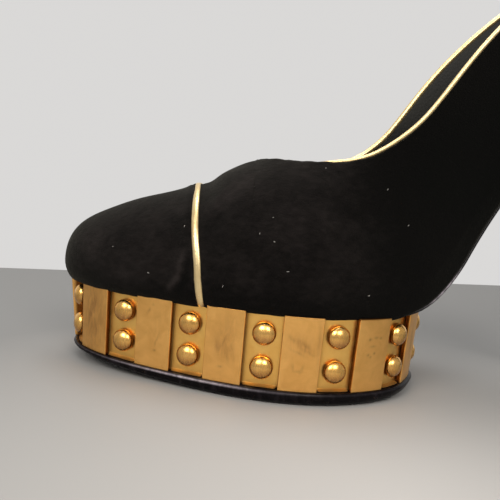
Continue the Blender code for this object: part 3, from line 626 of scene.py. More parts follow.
def on_path(distance, offset):
    """Position and height at a distance along the sole, moved off it by an offset upwards."""
    along = np.interp(distance, PATH_DISTANCE, PATH_ALONG)
    height = np.interp(distance, PATH_DISTANCE, PATH_HEIGHT)
    slope = np.interp(distance, PATH_DISTANCE, PATH_SLOPE)
    return along - offset * np.sin(slope), height + offset * np.cos(slope)


def edge(distance, name):
    """A column of the bottom edge, read at a distance from the toe."""
    return spline(rounded(EDGE["distance"] / SOLE_LENGTH), EDGE[name], rounded(distance / SOLE_LENGTH))


def top(distance, name):
    """A column of the top line, read at a distance from the toe."""
    if name == "along":
        return spline(TOP["distance"], TOP[name], distance)
    return spline(rounded(TOP["distance"] / SOLE_LENGTH), TOP[name], rounded(distance / SOLE_LENGTH))


def upper_points(distance, climb, side):
    """Points of the outer face at distances from the toe and climbs, on the inner or outer side."""
    distance = np.asarray(distance, float)
    climb = np.asarray(climb, float)
    foot_along, foot_height = on_path(distance, 0.0)
    half = np.maximum(edge(distance, SIDE_NAMES[SIDES.index(side)]), 0.0)
    bulge = edge(distance, "bulge")
    top_along = top(distance, "along")
    top_height = top(distance, "height")
    if side > 0:
        top_height = top_height - np.maximum(top(distance, "dip"), 0.0)
    wall_height = np.maximum(top_height - foot_height, LEAST_HEIGHT)
    rise = np.minimum(edge(distance, "rise"), top_height - foot_height)
    widest_height = foot_height + rise
    widest = half + bulge
    opening = np.clip((distance - THROAT) / THROAT_LENGTH, 0.0, 1.0)
    leaning = smooth((distance - THROAT) / (LEAN_END - THROAT))
    full_half = np.maximum(top(distance, "half"), 0.0)
    rim_half = full_half * np.sqrt(1.0 - (1.0 - opening) ** 2)
    base_half = full_half * leaning
    power = 2.0 / top(distance, "round")
    cut = np.clip((rim_half - base_half) / np.maximum(widest - base_half, LEAST_HALF), 0.0, 1.0)
    last_turn = np.arccos(cut ** (1.0 / power))
    last_upward = np.sin(last_turn) ** power
    share = rise / wall_height
    widest_along = top_along + leaning * (1.0 - share) * (foot_along - top_along)
    tuck = np.clip(climb, 0.0, 1.0) * math.pi / 2.0
    turn = np.clip(climb - 1.0, 0.0, 1.0) * last_turn
    across = np.maximum(np.cos(turn), 0.0) ** power
    upward = np.sin(turn) ** power / last_upward
    middle = edge(distance, "centre") * across + top(distance, "middle") * (1.0 - across)
    width = (half + bulge * np.sin(tuck)) * across + base_half * (1.0 - across)
    along = foot_along + (widest_along - foot_along) * np.sin(tuck) + (top_along - widest_along) * upward
    height = foot_height + rise * (1.0 - np.cos(tuck)) + (top_height - widest_height) * upward
    lifted = np.clip((height - foot_height) / wall_height, 0.0, 1.0)
    along = along + top(distance, "back") * np.sin(math.pi * lifted)
    return np.stack([along, middle + side * width, height], -1)


def both_sides(distance, climb):
    """Points of one line up the inner side, over the top and down the outer side."""
    return there_and_back(upper_points(distance, climb, -1), upper_points(distance, climb, 1))


def seam_distance(climb):
    """Where the vamp seam runs at a climb."""
    return spline(SEAM["climb"], SEAM["distance"], climb)


def plate_outline(distance, inner, outer, inset):
    """Both sides of an outline moved in by an inset, as distances and half widths."""
    sides = []
    for half in (inner, outer):
        tangent_along = np.gradient(distance)
        tangent_out = np.gradient(half)
        tangent_along[half < WELD] = 0.0
        length = np.hypot(tangent_along, tangent_out)
        moved = half - inset * tangent_along / length
        sides.append((distance + inset * tangent_out / length, moved))
    return sides


def sole_drop(distance):
    """How far the sole hangs below the upper's edge, which is nothing on the platform."""
    return SOLE_DROP * smooth((distance - SOLE_DROP_START) / SOLE_DROP_LENGTH)


def platform_lines(count):
    """Positions along the platform, and its half widths there to the inner and outer side."""
    share = unrounded(np.linspace(0.0, 1.0, count))
    halves = [spline(rounded(PLATFORM["share"]), PLATFORM[name], rounded(share)) for name in SIDE_NAMES]
    return PLATFORM_TIP_X + PLATFORM_LENGTH * share, *halves


def platform_sides(inset):
    return plate_outline(*platform_lines(PLATFORM_STATIONS + 1), inset)


def toe_flare(along):
    """How far the bars' top edges lean out at the toe."""
    return TOE_FLARE * bell(along - PLATFORM_TIP_X, TOE_FLARE_REACH)


def toe_spring(along):
    return TOE_SPRING * upturn(along, TOE_SPRING_START_X, PLATFORM_TIP_X)


def platform_low(along):
    return OUTSOLE_THICKNESS + GAP + toe_spring(along)


def platform_high(along):
    share = np.clip(along / (PLATFORM_TIP_X + PLATFORM_LENGTH), 0.0, 1.0)
    return PLATFORM_TOP_Z + PLATFORM_BACK_LIFT * share**PLATFORM_BACK_POWER


def core_high(along):
    """Top of the platform's core, which follows the underside of the sole."""
    under = on_path(PATH_DISTANCE, -sole_drop(PATH_DISTANCE) - CORE_CLEARANCE)
    return np.interp(along, *under)


def platform_loop():
    """The platform's outline from the toe along the inner side and back along the outer side."""
    along, inner, outer = platform_lines(LOOP_SAMPLES)
    loop = there_and_back(np.stack([along, -inner], -1), np.stack([along, outer], -1))
    return loop, lengths_along(loop)


LOOP, LOOP_LENGTH = platform_loop()
FAR_PITCH = (LOOP_LENGTH[-1] - BAR_SEEN * BAR_PITCH) / (BAR_COUNT - BAR_SEEN)


def on_loop(distance, out):
    """Plan points at distances round the platform, moved out, and the outward directions there."""
    reach = TANGENT_STEPS * LOOP_LENGTH[-1] / len(LOOP)

    def at(place):
        place = np.mod(place, LOOP_LENGTH[-1])
        return np.stack([np.interp(place, LOOP_LENGTH, line) for line in LOOP.T], -1)

    tangent = unit(at(distance + reach) - at(distance - reach))
    outward = np.stack([tangent[..., 1], -tangent[..., 0]], -1)
    return at(distance) + outward * np.asarray(out, float)[..., None], outward


def on_wall(distance, out, share):
    """Points on the platform's flared wall, at shares of its height."""
    point, _ = on_loop(distance, out + BAR_FLARE * (share - 0.5))
    low = platform_low(point[..., 0])
    height = low + (platform_high(point[..., 0]) - low) * share
    return np.concatenate([point, height[..., None]], -1)


def bar_start(index):
    """Where a bar begins round the platform; the bars that the photo shows keep its spacing."""
    return BAR_FIRST + min(index, BAR_SEEN) * BAR_PITCH + max(index - BAR_SEEN, 0) * FAR_PITCH


def recess_middle(index):
    """The middle of the recess before a bar."""
    pitch = BAR_PITCH if 0 < index <= BAR_SEEN else FAR_PITCH
    return bar_start(index) - (pitch - BAR_WIDTH) / 2.0


# Meshes


def cells(index):
    """Corner numbers of the faces between neighbours in a grid of point numbers."""
    return np.stack([index[:-1, :-1], index[1:, :-1], index[1:, 1:], index[:-1, 1:]], -1).reshape(-1, 4)


def grid_quads(rows, columns, start=0, flipped=False):
    """Corner numbers of the faces of a grid of points."""
    quads = cells(start + np.arange(rows * columns).reshape(rows, columns))
    return quads[:, ::-1] if flipped else quads


def ring_numbers(count, sides):
    """Point numbers of a stack of rings, each ending with its first point again."""
    index = np.arange(count * sides).reshape(count, sides)
    return np.concatenate([index, index[:, :1]], 1)


def weld(points, quads):
    """Merges points that coincide, and says which point each kept one came from."""
    _, first, index = np.unique(np.round(points / WELD), axis=0, return_index=True, return_inverse=True)
    return points[first], index.reshape(-1)[quads], first


def normals_of(points, quads):
    """Outward directions at the points of a mesh of quads."""
    face = np.cross(points[quads[:, 2]] - points[quads[:, 0]], points[quads[:, 3]] - points[quads[:, 1]])
    total = np.zeros_like(points)
    for corner in range(4):
        np.add.at(total, quads[:, corner], face)
    return unit(total)


def plain_faces(quads):
    """The faces of a welded mesh, without repeated corners."""
    faces = [list(dict.fromkeys(quad)) for quad in quads.tolist()]
    return [face for face in faces if len(face) > 2]


def add_object(name, data):
    """A new object in the scene."""
    item = bpy.data.objects.new(name, data)
    bpy.context.scene.collection.objects.link(item)
    return item


def add_piece(name, shape, look, replaced=(), closed=True):
    """A smooth piece made of points and faces; it rides on the shoe and stands for the named nodes."""
    points, faces = shape
    mesh = bpy.data.meshes.new(name)
    mesh.from_pydata((points * MM).tolist(), [], faces)
    if closed:
        turned = bmesh.new()
        turned.from_mesh(mesh)
        bmesh.ops.recalc_face_normals(turned, faces=turned.faces)
        turned.to_mesh(mesh)
        turned.free()
    mesh.shade_smooth()
    mesh.materials.append(look)
    piece = add_object(name, mesh)
    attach(piece, BODY)
    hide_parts(*replaced)
    return piece


def add_values(piece, name, values):
    """Keeps a number for each point of a piece, for its material."""
    data = piece.data.attributes.new(name, "FLOAT", "POINT").data
    data.foreach_set("value", np.asarray(values, np.float32))


def add_wall(piece, thickness):
    shell = piece.modifiers.new("Wall", "SOLIDIFY")
    shell.thickness = thickness * MM
    shell.offset = -1.0


def add_bevel(piece, width):
    bevel = piece.modifiers.new("Edges", "BEVEL")
    bevel.width = width * MM
    bevel.segments = BEVEL_SEGMENTS
    bevel.limit_method = "ANGLE"
    bevel.harden_normals = True


def tube(rings, closed):
    """Points and faces of a tube through rings of points: end to end when closed, or else capped."""
    rings = np.asarray(rings)
    index = ring_numbers(*rings.shape[:2])
    if closed:
        faces = cells(np.concatenate([index, index[:1]])).tolist()
    else:
        faces = [*cells(index).tolist(), index[0, :-1].tolist(), index[-1, :-1].tolist()]
    return rings.reshape(-1, 3), faces


def circle(sides, first, second):
    """Directions round a circle that starts at the first direction and turns towards the second."""
    angles = np.linspace(0.0, 2.0 * math.pi, sides, endpoint=False)[:, None]
    return np.cos(angles) * first[..., None, :] + np.sin(angles) * second[..., None, :]


def join(meshes):
    """Several (points, faces) as one."""
    points, faces, start = [], [], 0
    for some, corners in meshes:
        points.append(some)
        faces.extend([[start + corner for corner in face] for face in corners])
        start += len(some)
    return np.concatenate(points), faces


def noise_at(points, scale):
    """Smooth noise from -1 to 1 at points; scale is the size of its features."""
    return np.array([mathutils.noise.noise(mathutils.Vector(point / scale)) for point in points])


def plate(profile, outline, place):
    """Points and faces of a plate with a shaped edge. outline gives both side lines at an inset, and
    place turns a side line into points at a level."""
    lines = []
    for inset, level in profile:
        lines.append([place(*line, side, level) for line, side in zip(outline(inset), SIDES)])
    lines = np.array(lines)
    levels, _, count = lines.shape[:3]
    points = lines.transpose(1, 0, 2, 3).reshape(-1, 3)
    quads = [grid_quads(levels, count), grid_quads(levels, count, levels * count)]
    index = np.arange(len(points)).reshape(2, levels, count)
    for level in (0, levels - 1):
        inner = index[0, level]
        outer = index[1, level]
        quads.append(np.stack([inner[:-1], inner[1:], outer[1:], outer[:-1]], -1))
    points, quads, _ = weld(points, np.concatenate(quads))
    return points, plain_faces(quads)


# Materials

# Numbers of the colour sockets of a Mix node
MIX_COLOURS = (6, 7)
MIX_RESULT = 2


class Look:
    """A node material: a Principled shader, and short calls for the nodes that feed it."""

    def __init__(self, name, **sockets):
        self.material = bpy.data.materials.new(name)
        self.material.use_nodes = True
        self.tree = self.material.node_tree
        self.shader = self.tree.nodes["Principled BSDF"]
        for socket, value in sockets.items():
            self.shader.inputs[socket.replace("_", " ")].default_value = value
        self.place = self.tree.nodes.new("ShaderNodeTexCoord").outputs["Object"]

    def add(self, kind, inputs, **settings):
        """A node with its settings; an input is a number, a colour or another node's output."""
        node = self.tree.nodes.new("ShaderNode" + kind)
        for name, value in settings.items():
            setattr(node, name, value)
        for socket, value in inputs.items():
            if isinstance(value, bpy.types.NodeSocket):
                self.tree.links.new(value, node.inputs[socket])
            else:
                node.inputs[socket].default_value = value
        return node

    def noise(self, scale, detail=3.0, rough=0.5, stretch=(1.0, 1.0, 1.0), lean=0.0, distort=0.0):
        """Smooth noise from 0 to 1, stretched and then leant about the Y axis by degrees."""
        mapping = {"Vector": self.place, "Scale": stretch, "Rotation": (0.0, math.radians(lean), 0.0)}
        inputs = {
            "Vector": self.add("Mapping", mapping).outputs["Vector"],
            "Scale": scale,
            "Detail": detail,
            "Roughness": rough,
            "Distortion": distort,
        }
        return self.add("TexNoise", inputs).outputs["Fac"]

    def values(self, name):
        return self.add("Attribute", {}, attribute_name=name).outputs["Fac"]

    def plus(self, first, second):
        return self.add("Math", {0: first, 1: second}, operation="ADD").outputs["Value"]

    def times(self, first, second):
        return self.add("Math", {0: first, 1: second}, operation="MULTIPLY").outputs["Value"]

    def span(self, source, low, high, to_low=0.0, to_high=1.0):
        """A value moved from one range to another and kept inside it."""
        ranges = {"From Min": low, "From Max": high, "To Min": to_low, "To Max": to_high}
        return self.add("MapRange", {"Value": source, **ranges}).outputs["Result"]

    def blend(self, share, *colours):
        """Two colours, or nodes with colours, blended by a share."""
        ends = [(*end, 1.0) if isinstance(end, tuple) else end for end in colours]
        inputs = {0: share, **dict(zip(MIX_COLOURS, ends))}
        return self.add("Mix", inputs, data_type="RGBA").outputs[MIX_RESULT]

    def shade(self, source, low, high, *colours):
        """Two colours blended where a value runs from low to high."""
        return self.blend(self.span(source, low, high), *colours)

    def bump(self, height, distance, under=None):
        inputs = {"Height": height, "Distance": distance * MM, "Strength": 1.0}
        if under is not None:
            inputs["Normal"] = under
        return self.add("Bump", inputs).outputs["Normal"]

    def done(self, colour, roughness=None, normal=None):
        """Links the shader to what feeds it, and gives the material."""
        for socket, source in (("Base Color", colour), ("Roughness", roughness), ("Normal", normal)):
            if source is not None:
                self.tree.links.new(source, self.shader.inputs[socket])
        return self.material


def suede_look():
    """Black suede: a soft uneven pile with paler and darker brushed places, and painted highlights and
    shade.
    """
    look = Look(
        "suede",
        Roughness=0.95,
        Specular_IOR_Level=0.06,
        Sheen_Weight=0.07,
        Sheen_Roughness=0.42,
        Sheen_Tint=(0.92, 0.9, 0.76, 1.0),
    )
    patches = look.noise(75.0, rough=0.55)
    strokes = look.noise(560.0, detail=4.0, rough=0.62, stretch=(0.55, 1.0, 1.0), lean=-8.0)
    fibres = look.noise(2600.0, rough=0.6)
    nap_and_shade = look.values("nap_and_shade")
    tone = look.plus(look.times(patches, 0.5), look.times(strokes, 0.5))
    tone = look.plus(tone, look.times(nap_and_shade, 0.4))
    brushed = look.shade(tone, 0.36, 0.9, SUEDE_DARK, SUEDE_PALE)
    grain = look.shade(fibres, 0.42, 0.72, FIBRE_DARK, FIBRE_PALE)
    colour = look.blend(look.span(tone, 0.2, 0.8, 0.35, 0.75), grain, brushed)
    # Where the values fall below 0 the suede is darkened as painted shade
    colour = look.blend(look.span(nap_and_shade, -1.0, 0.0, 0.9, 0.0), colour, SUEDE_SHADE)
    return look.done(colour, normal=look.bump(fibres, 0.22, look.bump(strokes, 0.25)))


def lining_look():
    """Thin black lining leather with a fine grain and a dull shine."""
    look = Look("lining", Roughness=0.6, Specular_IOR_Level=0.25)
    pebbles = look.add("TexVoronoi", {"Vector": look.place, "Scale": 900.0}).outputs["Distance"]
    wear = look.noise(55.0)
    colour = look.shade(wear, 0.35, 0.75, LINING_DARK, LINING_PALE)
    return look.done(colour, look.span(wear, 0.3, 0.7, 0.54, 0.7), look.bump(pebbles, 0.08))


def bar_look():
    """Satin gold plate with brown stains, scuffs and fine scratches, painted dark as shade on its side
    walls and along its top edge.
    """
    look = Look("gold_bar", Metallic=1.0, Roughness=0.4)
    cloud = look.noise(210.0, detail=5.0, rough=0.62, distort=0.6)
    smear = look.noise(620.0, detail=5.0, rough=0.65, stretch=(1.0, 1.0, 0.28), lean=32.0, distort=0.8)
    scratch = look.noise(900.0, rough=0.6, stretch=(1.0, 1.0, 0.05), lean=38.0, distort=0.4)
    broken = look.times(look.values("stain"), look.span(smear, 0.36, 0.6, 0.45, 1.0))
    tone = look.shade(cloud, 0.3, 0.72, BAR_DARK, BAR_PALE)
    tone = look.blend(look.times(broken, 0.75), tone, BAR_STAIN)
    # The 'wall' values paint shade: full on the side walls, and along the top edge of the face
    colour = look.blend(look.span(look.values("wall"), 0.12, 0.4), tone, BAR_WALL_SHADE)
    dull = look.plus(look.span(cloud, 0.3, 0.7, 0.34, 0.46), look.times(broken, 0.2))
    return look.done(colour, dull, look.bump(cloud, 0.05, look.bump(scratch, 0.012)))


def panel_look():
    """The gold sheet between the bars, darker along its bottom edge from soiling and painted shade, with
    painted shade in the corner after each bar and at the toe.
    """
    look = Look("gold_panel", Metallic=1.0, Roughness=0.34)
    cloud = look.noise(260.0, detail=5.0, rough=0.6)
    # These values hold soiling and painted shade
    grime_and_shade = look.times(look.values("grime_and_shade"), look.span(cloud, 0.25, 0.6, 0.75, 1.0))
    tone = look.shade(cloud, 0.3, 0.7, PANEL_DARK, PANEL_PALE)
    dull = look.plus(look.span(cloud, 0.3, 0.7, 0.28, 0.4), look.times(grime_and_shade, 0.4))
    return look.done(look.blend(grime_and_shade, tone, PANEL_GRIME_AND_SHADE), dull, look.bump(cloud, 0.05))


def stud_look():
    """Polished gold domes with fine polishing lines, with painted shade round the foot and on the lower
    half.
    """
    look = Look("gold_stud", Metallic=1.0, Roughness=0.2)
    cloud = look.noise(330.0, detail=4.0, rough=0.6)
    lines = look.noise(1500.0, rough=0.55, stretch=(1.0, 1.0, 0.07))
    # Painted shade: a dark ring round each dome's foot, and a browner lower half
    foot = look.times(look.values("foot"), look.span(cloud, 0.3, 0.6, 0.6, 1.0))
    low_shade = look.times(look.values("low"), look.span(lines, 0.4, 0.6, 0.45, 0.95))
    tone = look.blend(low_shade, look.shade(cloud, 0.3, 0.72, STUD_DARK, STUD_PALE), STUD_LOW_SHADE)
    dull = look.span(lines, 0.35, 0.65, 0.22, 0.32)
    return look.done(look.blend(foot, tone, STUD_FOOT_SHADE), dull, look.bump(lines, 0.035))


def gold_leather_look():
    """Pale gold foil on leather, finely creased."""
    look = Look("gold_leather", Metallic=0.85, Roughness=0.33)
    creases = look.noise(1300.0, detail=4.0, rough=0.6, distort=0.5)
    colour = look.shade(look.noise(160.0), 0.3, 0.7, LEATHER_DARK, LEATHER_PALE)
    return look.done(colour, look.span(creases, 0.3, 0.7, 0.27, 0.42), look.bump(creases, 0.07))


def polished_sole_look(name, shine, coat):
    """Black sole leather, polished at the edge, with fine scuffs and a pale highlight painted where the
    'rim' values are set.
    """
    look = Look(name, Roughness=0.24, Specular_IOR_Level=shine, Coat_Weight=coat, Coat_Roughness=0.12)
    scuffs = look.noise(520.0, detail=5.0, rough=0.62, stretch=(1.0, 1.0, 0.25))
    colour = look.shade(scuffs, 0.52, 0.78, SOLE_BLACK, SOLE_SCUFFED)
    # The 'rim' values paint a pale highlight line
    painted_highlight = look.times(look.values("rim"), look.span(scuffs, 0.3, 0.6, 0.3, 1.0))
    dull = look.span(look.noise(120.0), 0.3, 0.7, 0.17, 0.36)
    return look.done(look.blend(painted_highlight, colour, SOLE_HIGHLIGHT), dull, look.bump(scuffs, 0.03))


def rubber_look():
    look = Look("rubber", Roughness=0.72, Specular_IOR_Level=0.3)
    grain = look.noise(1800.0)
    colour = look.shade(grain, 0.35, 0.7, RUBBER_DARK, RUBBER_PALE)
    return look.done(colour, normal=look.bump(grain, 0.06))


def lint_look():
    look = Look("lint", Roughness=0.9, Specular_IOR_Level=0.1)
    return look.done(look.blend(look.noise(900.0, detail=2.0), LINT_DARK, LINT_PALE))


# Upper


def upper_distances(toe_rows, throat_rows, back_rows):
    """Where the upper's sections stand: close at the toe, behind the throat and at the heel."""
    throat = THROAT + THROAT_LENGTH * np.linspace(0.0, 1.0, throat_rows)[1:] ** 2
    back = stations(THROAT + THROAT_LENGTH, SOLE_LENGTH, back_rows)[1:]
    return np.concatenate([stations(0.0, THROAT, toe_rows), throat, back])


def upper_climbs(tuck_steps, wall_steps):
    tuck = np.linspace(0.0, 1.0, tuck_steps + 1)
    wall = 1.0 + np.linspace(0.0, 1.0, wall_steps + 1)[1:]
    return np.concatenate([tuck, wall])


def upper_surface(sections, climbs):
    """The outer face as welded points and faces, with each point's distance and climb."""
    distance, climb = np.meshgrid(upper_distances(*sections), upper_climbs(*climbs), indexing="ij")
    points = np.concatenate([upper_points(distance, climb, side).reshape(-1, 3) for side in SIDES])
    quads = [grid_quads(*distance.shape), grid_quads(*distance.shape, distance.size, True)]
    points, quads, first = weld(points, np.concatenate(quads))
    place = {"distance": distance, "climb": climb}
    return points, quads, {name: np.tile(grid.reshape(-1), 2)[first] for name, grid in place.items()}


def near_line(points, line, width):
    """1 on a line, falling off beside it over a width and along it towards both ends."""
    gap = np.linalg.norm(points[:, None] - line[None], axis=-1)
    run = np.linspace(0.0, 1.0, len(line))
    return np.sin(math.pi * run[np.argmin(gap, axis=1)]) * bell(np.min(gap, axis=1), width)


def band_values(points, bands):
    """Sum of soft bands on the upper, each fading out at its ends."""
    total = np.zeros(len(points))
    for band in bands:
        distance = np.linspace(band["from_distance"], band["to_distance"], BAND_SAMPLES)
        climb = np.linspace(band["from_climb"], band["to_climb"], BAND_SAMPLES)
        line = upper_points(distance, climb, band["side"])
        total += band["strength"] * near_line(points, line, band["width"])
    return total


def seam_line():
    """Points along the vamp seam, up one side and down the other, and the directions behind it."""
    distance = seam_distance(SEAM_CLIMBS)
    line = both_sides(distance, SEAM_CLIMBS)
    return line, unit(line - both_sides(distance - VAMP_SEAM_PROBE, SEAM_CLIMBS))


def seam_gap(points):
    """Distance of points from the vamp seam, in front of it below 0 and behind it above 0."""
    line, behind = seam_line()
    apart = points[:, None] - line[None]
    nearest = np.argmin(np.linalg.norm(apart, axis=-1), axis=1)
    apart = apart[np.arange(len(points)), nearest]
    return np.sign(np.sum(apart * behind[nearest], axis=-1)) * np.linalg.norm(apart, axis=-1)


def seam_bend(gap, climb):
    """The bend over the top of the foot: a soft ridge before the vamp seam and a dip behind it."""
    dip = BEND_DIP * bell(gap - BEND_DIP_BEHIND, BEND_DIP_WIDTH)
    ridge = BEND_RIDGE * bell(gap + BEND_RIDGE_AHEAD, BEND_RIDGE_WIDTH)
    return (ridge - dip) * smooth((climb - BEND_CLIMB) / BEND_BLEND)


def upper_relief(points, place):
    """How far the suede stands proud of the plain last shape: seams, creases and soft unevenness."""
    gap = seam_gap(points)
    relief = band_values(points, CREASES) + seam_bend(gap, place["climb"])
    relief -= SEAM_GROOVE * bell(np.abs(gap) - SEAM_EDGE, SEAM_GROOVE_WIDTH)
    back = smooth((place["distance"] - BACK_SEAM_START) / BACK_SEAM_BLEND)
    relief -= BACK_SEAM_GROOVE * bell(points[:, 1] - EDGE["centre"][-1], BACK_SEAM_WIDTH) * back
    relief += SOFTNESS * noise_at(points, SOFTNESS_SIZE) * smooth(place["climb"] / SOFTNESS_CLIMB)
    return relief


def upper_sag(points, place):
    """How far the suede's lower edge hangs down over the tops of the bars."""
    low = fade_out(place["climb"], SAG_CLIMB_FULL, SAG_CLIMB_END)
    front = fade_out(place["distance"], SAG_FULL, SAG_END)
    toe = fade_out(place["distance"], TOE_SAG_FULL, TOE_SAG_END)
    return (SAG + TOE_SAG * toe + SAG_WAVE * noise_at(points, SAG_WAVE_SIZE)) * low * front


def nap_and_shade_values(points, place):
    """Where the suede is brushed paler or darker, with painted highlights and shade on creases, and
    painted shade further back on the inner side and along the bottom edge.
    """
    total = band_values(points, BRUSHED_AND_CREASE_LIGHT_BANDS)
    # Painted shade along the bottom edge, where the suede tucks under
    total -= LOW_SHADE * fade_out(place["climb"], 0.0, LOW_SHADE_CLIMB)
    for spot in NAP_AND_SHADE_SPOTS:
        centre = upper_points(spot["distance"], spot["climb"], spot["side"])
        total += spot["strength"] * bell(np.linalg.norm(points - centre, axis=1), spot["radius"])
    return total


def make_upper(suede, lining):
    """The suede shell with its creases, and the lining inside it."""
    points, quads, place = upper_surface(UPPER_SECTIONS, UPPER_CLIMBS)
    directions = normals_of(points, quads)
    points = points + directions * upper_relief(points, place)[:, None]
    points[:, 2] -= upper_sag(points, place)
    at_rim = smooth((place["climb"] - TOP_CLIMB + RIM_WAVE_REACH) / RIM_WAVE_REACH)
    at_rim = at_rim * (place["distance"] > THROAT)
    points[:, 2] += RIM_WAVE * noise_at(points, RIM_WAVE_SIZE) * at_rim
    shape = (points, plain_faces(quads))
    upper = add_piece("upper_suede", shape, suede, ["upper"], False)
    add_values(upper, "nap_and_shade", nap_and_shade_values(points, place))
    add_wall(upper, SUEDE_WALL)
    points, quads, place = upper_surface(LINING_SECTIONS, LINING_CLIMBS)
    inward = LINING_OFFSET - np.minimum(seam_bend(seam_gap(points), place["climb"]), 0.0)
    points = points - normals_of(points, quads) * inward[:, None]
    shape = (points, plain_faces(quads))
    inside = add_piece("upper_lining", shape, lining, [], False)
    add_wall(inside, LINING_WALL)


def make_vamp_piping(look):
    """A folded strip of gold leather over the vamp seam, half round in section."""
    line, across = seam_line()
    outward = unit(np.cross(across, unit(np.gradient(line, axis=0))))
    climb = there_and_back(SEAM_CLIMBS, SEAM_CLIMBS)
    line[:, 2] -= upper_sag(line, {"climb": climb, "distance": seam_distance(climb)})
    taper = VAMP_PIPING_TAPER * fade_out(climb, 0.0, VAMP_PIPING_TAPER_END)
    swell = 1.0 - taper + VAMP_PIPING_WAVE * noise_at(line, VAMP_PIPING_WAVE_SIZE)
    relief = band_values(line, CREASES) + seam_bend(0.0, climb)
    relief -= VAMP_PIPING_TOP_SINK * smooth((climb - BEND_CLIMB) / BEND_BLEND)
    line = line + outward * (relief - VAMP_PIPING_SINK)[:, None]
    sideways = across * swell[:, None] * VAMP_PIPING_WIDTH / 2.0
    upwards = outward * (VAMP_PIPING_HEIGHT + VAMP_PIPING_SINK)
    angles = np.linspace(0.0, math.pi, VAMP_PIPING_SIDES)[:, None]
    rings = line[:, None] + np.cos(angles) * sideways[:, None] + np.sin(angles) * upwards[:, None]
    add_piece("vamp_piping_leather", tube(rings, False), look, ["vamp_piping"])


def fibre(start, end, outward):
    """A bit of lint: a short thread that dips at both ends."""
    run = np.linspace(0.0, 1.0, LINT_STEPS)[:, None]
    arch = np.sin(math.pi * run)
    path = start + (end - start) * run + outward * LINT_RADIUS * (arch * LINT_ARCH - LINT_SINK)
    ring = circle(LINT_SIDES, np.cross(outward, unit(end - start)), outward)
    radius = LINT_RADIUS * (LINT_END + (1.0 - LINT_END) * arch)
    return tube(path[:, None] + radius[:, None] * ring, False)


def make_lint(look):
    """A few short fibres lying on the suede."""
    made = []
    for lint in LINT:
        place, ahead, above = upper_points(
            lint["distance"] + np.array([0.0, LINT_PROBE, 0.0]),
            lint["climb"] + np.array([0.0, 0.0, LINT_PROBE_CLIMB]),
            -1,
        )
        forward = unit(ahead - place)
        upward = unit(above - place)
        turn = math.radians(lint["turn"])
        half = (forward * math.cos(turn) + upward * math.sin(turn)) * lint["length"] / 2.0
        outward = unit(np.cross(forward, upward))
        place = place + outward * LINT_LIFT
        made.append(fibre(place - half, place + half, outward))
    add_piece("upper_lint", join(made), look)


def topline_frame(distance):
    """Points round the collar's rim, the directions along it, away from the wall and outward, and how
    far from the toe the points lie."""
    full = np.full(len(distance), TOP_CLIMB)
    rim = both_sides(distance, full)[:-1]
    path = unit(np.roll(rim, -1, axis=0) - np.roll(rim, 1, axis=0))
    away = rim - both_sides(distance - RIM_PROBE, full - RIM_PROBE_CLIMB)[:-1]
    away = unit(away - path * np.sum(away * path, axis=1, keepdims=True))
    return rim, path, away, np.cross(path, away), there_and_back(distance, distance)[:-1]


def make_topline_piping(look):
    """A thin gold cord round the collar, between suede and lining; it sits low at the throat."""
    distance = upper_distances(*CORD_SECTIONS)
    rim, path, away, outward, places = topline_frame(distance[distance >= THROAT])
    drop = THROAT_PIPING_DROP * fade_out(places, THROAT_PIPING_HIDDEN, THROAT_PIPING_SHOWN)
    ends = np.minimum(places - THROAT, SOLE_LENGTH - places)
    far = smooth(ends / FAR_PIPING_BLEND) * (np.arange(len(places)) > len(places) // 2)
    radius = TOPLINE_PIPING_RADIUS * (1.0 + FAR_PIPING_SWELL * far)
    lift = radius + TOPLINE_PIPING_LIFT - drop
    line = rim + away * lift[:, None] - outward * TOPLINE_PIPING_SINK
    radius = radius * (1.0 + TOPLINE_PIPING_WAVE * noise_at(line, TOPLINE_PIPING_WAVE_SIZE))
    side = unit(np.cross(path, UP))
    spokes = circle(TOPLINE_PIPING_SIDES, side, np.cross(side, path))
    cord = tube(line[:, None] + radius[:, None, None] * spokes, True)
    add_piece("topline_piping_leather", cord, look, ["topline_piping"])


# Soles


def footbed_outline(first, last):
    """Side lines of the bottom edge between two distances, at an inset."""
    distance = stations(first, last, PLATE_STATIONS)

    def outline(inset):
        return plate_outline(distance, edge(distance, "inner"), edge(distance, "outer"), inset)

    return outline


def footbed_place(distance, half, side, level):
    along, height = on_path(distance, level - sole_drop(distance))
    return np.stack([along, edge(distance, "centre") + side * half, height], -1)


def outsole_low(along):
    """Height of the outsole's underside: flat under the ball, rising to the toe and to the back."""
    toe = UNDER_TOE_RISE * upturn(along, UNDER_TOE_START_X, PLATFORM_TIP_X)
    return toe + UNDER_BACK_RISE * upturn(along, UNDER_BACK_START_X, PLATFORM_TIP_X + PLATFORM_LENGTH)


def outsole_high(along):
    """Height of the outsole's top, a little below the bars' feet in the plain model."""
    return OUTSOLE_THICKNESS - OUTSOLE_SINK + toe_spring(along)


def platform_place(low, high):
    """Puts a side line of the platform at shares of the way between two heights."""

    def place(along, half, side, share):
        return np.stack([along, side * half, low(along) + (high(along) - low(along)) * share], -1)

    return place


def rim_highlight_values(points):
    """Where a pale highlight line is painted along the outsole's upper rim: most some way behind the
    toe.
    """
    low = outsole_low(points[:, 0])
    share = (points[:, 2] - low) / (outsole_high(points[:, 0]) - low)
    along = RIM_LEAST + (1.0 - RIM_LEAST) * bell(points[:, 0] - RIM_X, RIM_REACH)
    return along * bell(share - RIM_LEVEL, RIM_WIDTH)


def lip_highlight_values(points):
    """A painted pale highlight on the sole's lip, where the arch leaves the platform on the inner side.
    """
    distance = np.linspace(LIP_SHINE_START, LIP_SHINE_END, BAND_SAMPLES)
    inset, level = LIP_EDGE[LIP_SHINE_ROW]
    crest = footbed_place(distance, edge(distance, "inner") - inset, -1, level)
    return near_line(points, crest, LIP_SHINE_WIDTH)


